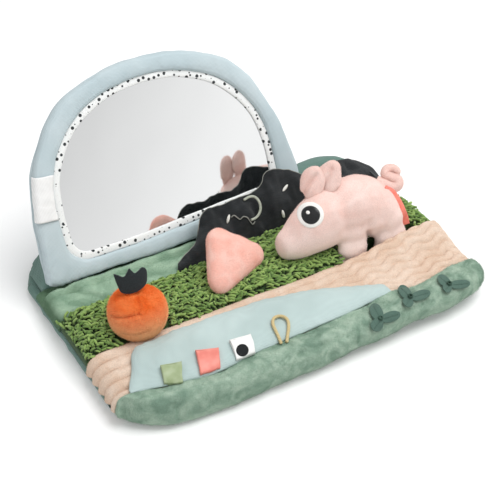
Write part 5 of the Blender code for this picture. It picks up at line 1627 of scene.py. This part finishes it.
# %% The pig's ribbon
ribbon_points = 40
ribbon_pixels = [(385, 187.5), (391.5, 192), (397.5, 201), (402.5, 212), (405.5, 221.5), (406.0, 228)]
ribbon_line, _ = line_on(pig_surface, ribbon_pixels, ribbon_points)
ribbon_line = even_route(ribbon_line[::6], ribbon_points) + to_camera * 1.2 * MM
ribbon_across = np.cross(np.gradient(ribbon_line, axis=0), to_camera)
ribbon_across /= np.linalg.norm(ribbon_across, axis=1, keepdims=True)
ribbon_half = np.interp(np.linspace(0, 1, ribbon_points), [0, 0.3, 1], [2.6, 3.9, 4.2]) * MM
sides = np.linspace(-1, 1, 9)
ribbon_grid = (ribbon_line[:, None] + ribbon_across[:, None] * (ribbon_half[:, None] * sides)[:, :, None]
               + to_camera * 0.9 * MM * (1 - sides[None, :, None] ** 2))
coral_satin = ribbon_satin("coral_satin_ribbon", "#FB9482", "#F17D6C", 0.5, 0.38)
pig_ribbon = cloth_sheet("pig_satin_ribbon", ribbon_grid, 0.9 * MM)
dress(pig_ribbon, "pig_toy", coral_satin, ["pig_ribbon"])
grow_pile(pig, pig_velboa, 1.1, 1.2, 0.12, (0.2, 0, -0.5), 0.5, 10)

# %% [markdown]
# The ribbon tabs are short lengths of ribbon, folded double with both ends in the seam. The
# fold stands a little open. Each is laid on the mint panel between four corners.

# %% Ribbon tabs
tab_turn = math.radians(-13)
tab_up = np.array((0, -0.25, 0.97))
tabs = {
    "green": ("sage_grosgrain", "#AAB893", "#98A87D", [
        (164.0, 386.5), (182.6, 383.4), (181.2, 364.0), (160.2, 368.2)]),
    "coral": ("coral_grosgrain", "#F09486", "#E58275", [
        (200.2, 376.0), (220.2, 372.4), (218.2, 350.0), (195.2, 352.8)]),
    "white": ("white_grosgrain", "#F6F6F4", "#EBEBE8", [
        (236.4, 361.4), (255.2, 354.4), (250.4, 336.2), (229.2, 342.4)]),
}
dot_pixel = (242.4, 350.2)
dot_radius_pixels = 6.3


def make_tab(colour, cloth, light, dark, pixels):
    """A loop of ribbon between four corners: near left, near right, far right and far left."""
    corners = [seen_at(pixel, mat_surface)[0] for pixel in pixels]
    across = np.linspace(0, 1, 14)[None, :, None]
    under, over = np.linspace(0, 0.97, 20), np.linspace(0.97, 0, 20)
    turns = np.linspace(-math.pi / 2, math.pi / 2, 9)
    run = np.concatenate([under, 0.97 + 0.06 * np.cos(turns), over])[:, None, None]
    upper = 4.0 - 1.9 * fade(over[::-1], 0.35, 1.0)
    lift = np.concatenate([0.6 + 0 * under, 2.3 + 1.7 * np.sin(turns), upper])
    near_side = corners[0] + (corners[1] - corners[0]) * across
    far_side = corners[3] + (corners[2] - corners[3]) * across
    grid = near_side + (far_side - near_side) * run
    for place in grid.reshape(-1, 3):
        place[2] = max(place[2], dropped(mat_surface, place, 0.1) + 0.3 * MM)
    tab = cloth_sheet(f"{colour}_ribbon_loop", grid + tab_up * lift[:, None, None] * MM, 0.75 * MM)
    crumple(tab, [(0.2, 12, 91)])
    satin = ribbon_satin(cloth, light, dark, tab_turn)
    return dress(tab, f"{colour}_ribbon_tab", satin, [f"{colour}_tab"])


loops = {colour: make_tab(colour, *tab) for colour, tab in tabs.items()}
white_surface = surface_of(loops["white"])
dot_rings = []
for share, lift in ((1.0, 0.02), (1.0, 0.14), (0.9, 0.18), (0.5, 0.18), (0.05, 0.18)):
    pixels = np.array(dot_pixel) + dot_radius_pixels * share * np.column_stack(circle(40))
    dot_rings.append([seen_at(pixel, white_surface)[0] + to_camera * lift * MM for pixel in pixels])
dot_print = wool_felt("black_dot_print", "#2B2D2F", "#1F2123")
dress(lofted("white_tab_dot", dot_rings), "white_ribbon_tab", dot_print, [])

# %% [markdown]
# Three sprouts are sewn to the front roll: three felt petals round a knot of thread. Each
# petal is a pointed oval with a stitched vein, laid on the roll from its knot to a pixel.

# %% Felt sprouts
sprout_wool = wool_felt("grey_green_felt", "#5D766B", "#4A6258")
sprout_thread = wool_felt("dark_green_thread", "#3F5A4C", "#33493E")
off_roll = np.array((0.05, -0.60, 0.80))
knot_turns = 2.6
knot_radius = 2.2
sprouts = [
    ((379.8, 320.6), [((-9.5, -15.5), 6.4), ((18.5, -5.5), 5.6), ((-8.5, 11.0), 6.6)]),
    ((409.8, 298.6), [((-12.5, -11.0), 5.6), ((18.5, -5.0), 5.2), ((-6.5, 8.5), 6.0)]),
    ((448.6, 285.8), [((-12.5, -8.5), 5.2), ((19.5, -1.0), 4.8), ((-6.0, 6.5), 5.2)]),]


def petal_rings(hub_pixel, step, half_width):
    """Rings of a flat oval, drawn in pixels from the hub and laid on the pile of the roll."""
    aside = np.array((-step[1], step[0])) / math.hypot(*step)
    rings = []
    for share in np.linspace(0, 1, 20):
        wide = half_width * math.sqrt(max(1 - abs(2 * share - 1) ** 2.4, 0.05))
        over, under = [], []
        for side in np.linspace(-1, 1, 9):
            pixel = np.array(hub_pixel) + np.array(step) * share + aside * wide * side
            place, _ = seen_at(pixel, mat_surface)
            spot = place + off_roll * (2.4 + 2.0 * share**2 + 0.5 * side**2) * MM
            rim = off_roll * 0.8 * MM * math.sqrt(max(1 - side**6, 0.05))
            over.append(spot + rim)
            under.append(spot - rim)
        rings.append(over + under[::-1])
    return np.array(rings)


for number, (hub_pixel, petals) in enumerate(sprouts, start=1):
    body = f"sprout_{number}"
    veins = []
    for petal_number, petal in enumerate(petals, start=1):
        rings = petal_rings(hub_pixel, *petal)
        piece = lofted(f"{body}_petal_{petal_number}", rings)
        rub(piece, 3)
        dress(piece, body, sprout_wool, [f"{body}_leaf"])
        veins.append(rings[4:17, 4] + off_roll * 0.2 * MM)
    vein = stitches(f"{body}_veins", veins, sprout_thread, 2.0, 1.6, 0.3)
    dress(vein, body, sprout_thread, [])
    hub = seen_at(hub_pixel, mat_surface)[0] + off_roll * 1.2 * MM
    turns = np.linspace(0, knot_turns * math.tau, 70)
    rise = 2.6 + 0.28 * turns / 3
    coil = hub + np.column_stack([knot_radius * np.cos(turns), knot_radius * np.sin(turns), rise]) * MM
    knot = tube_along(f"{body}_thread_knot", coil, 0.8 * MM, 8)
    dress(knot, body, sprout_thread, [f"{body}_knot"])
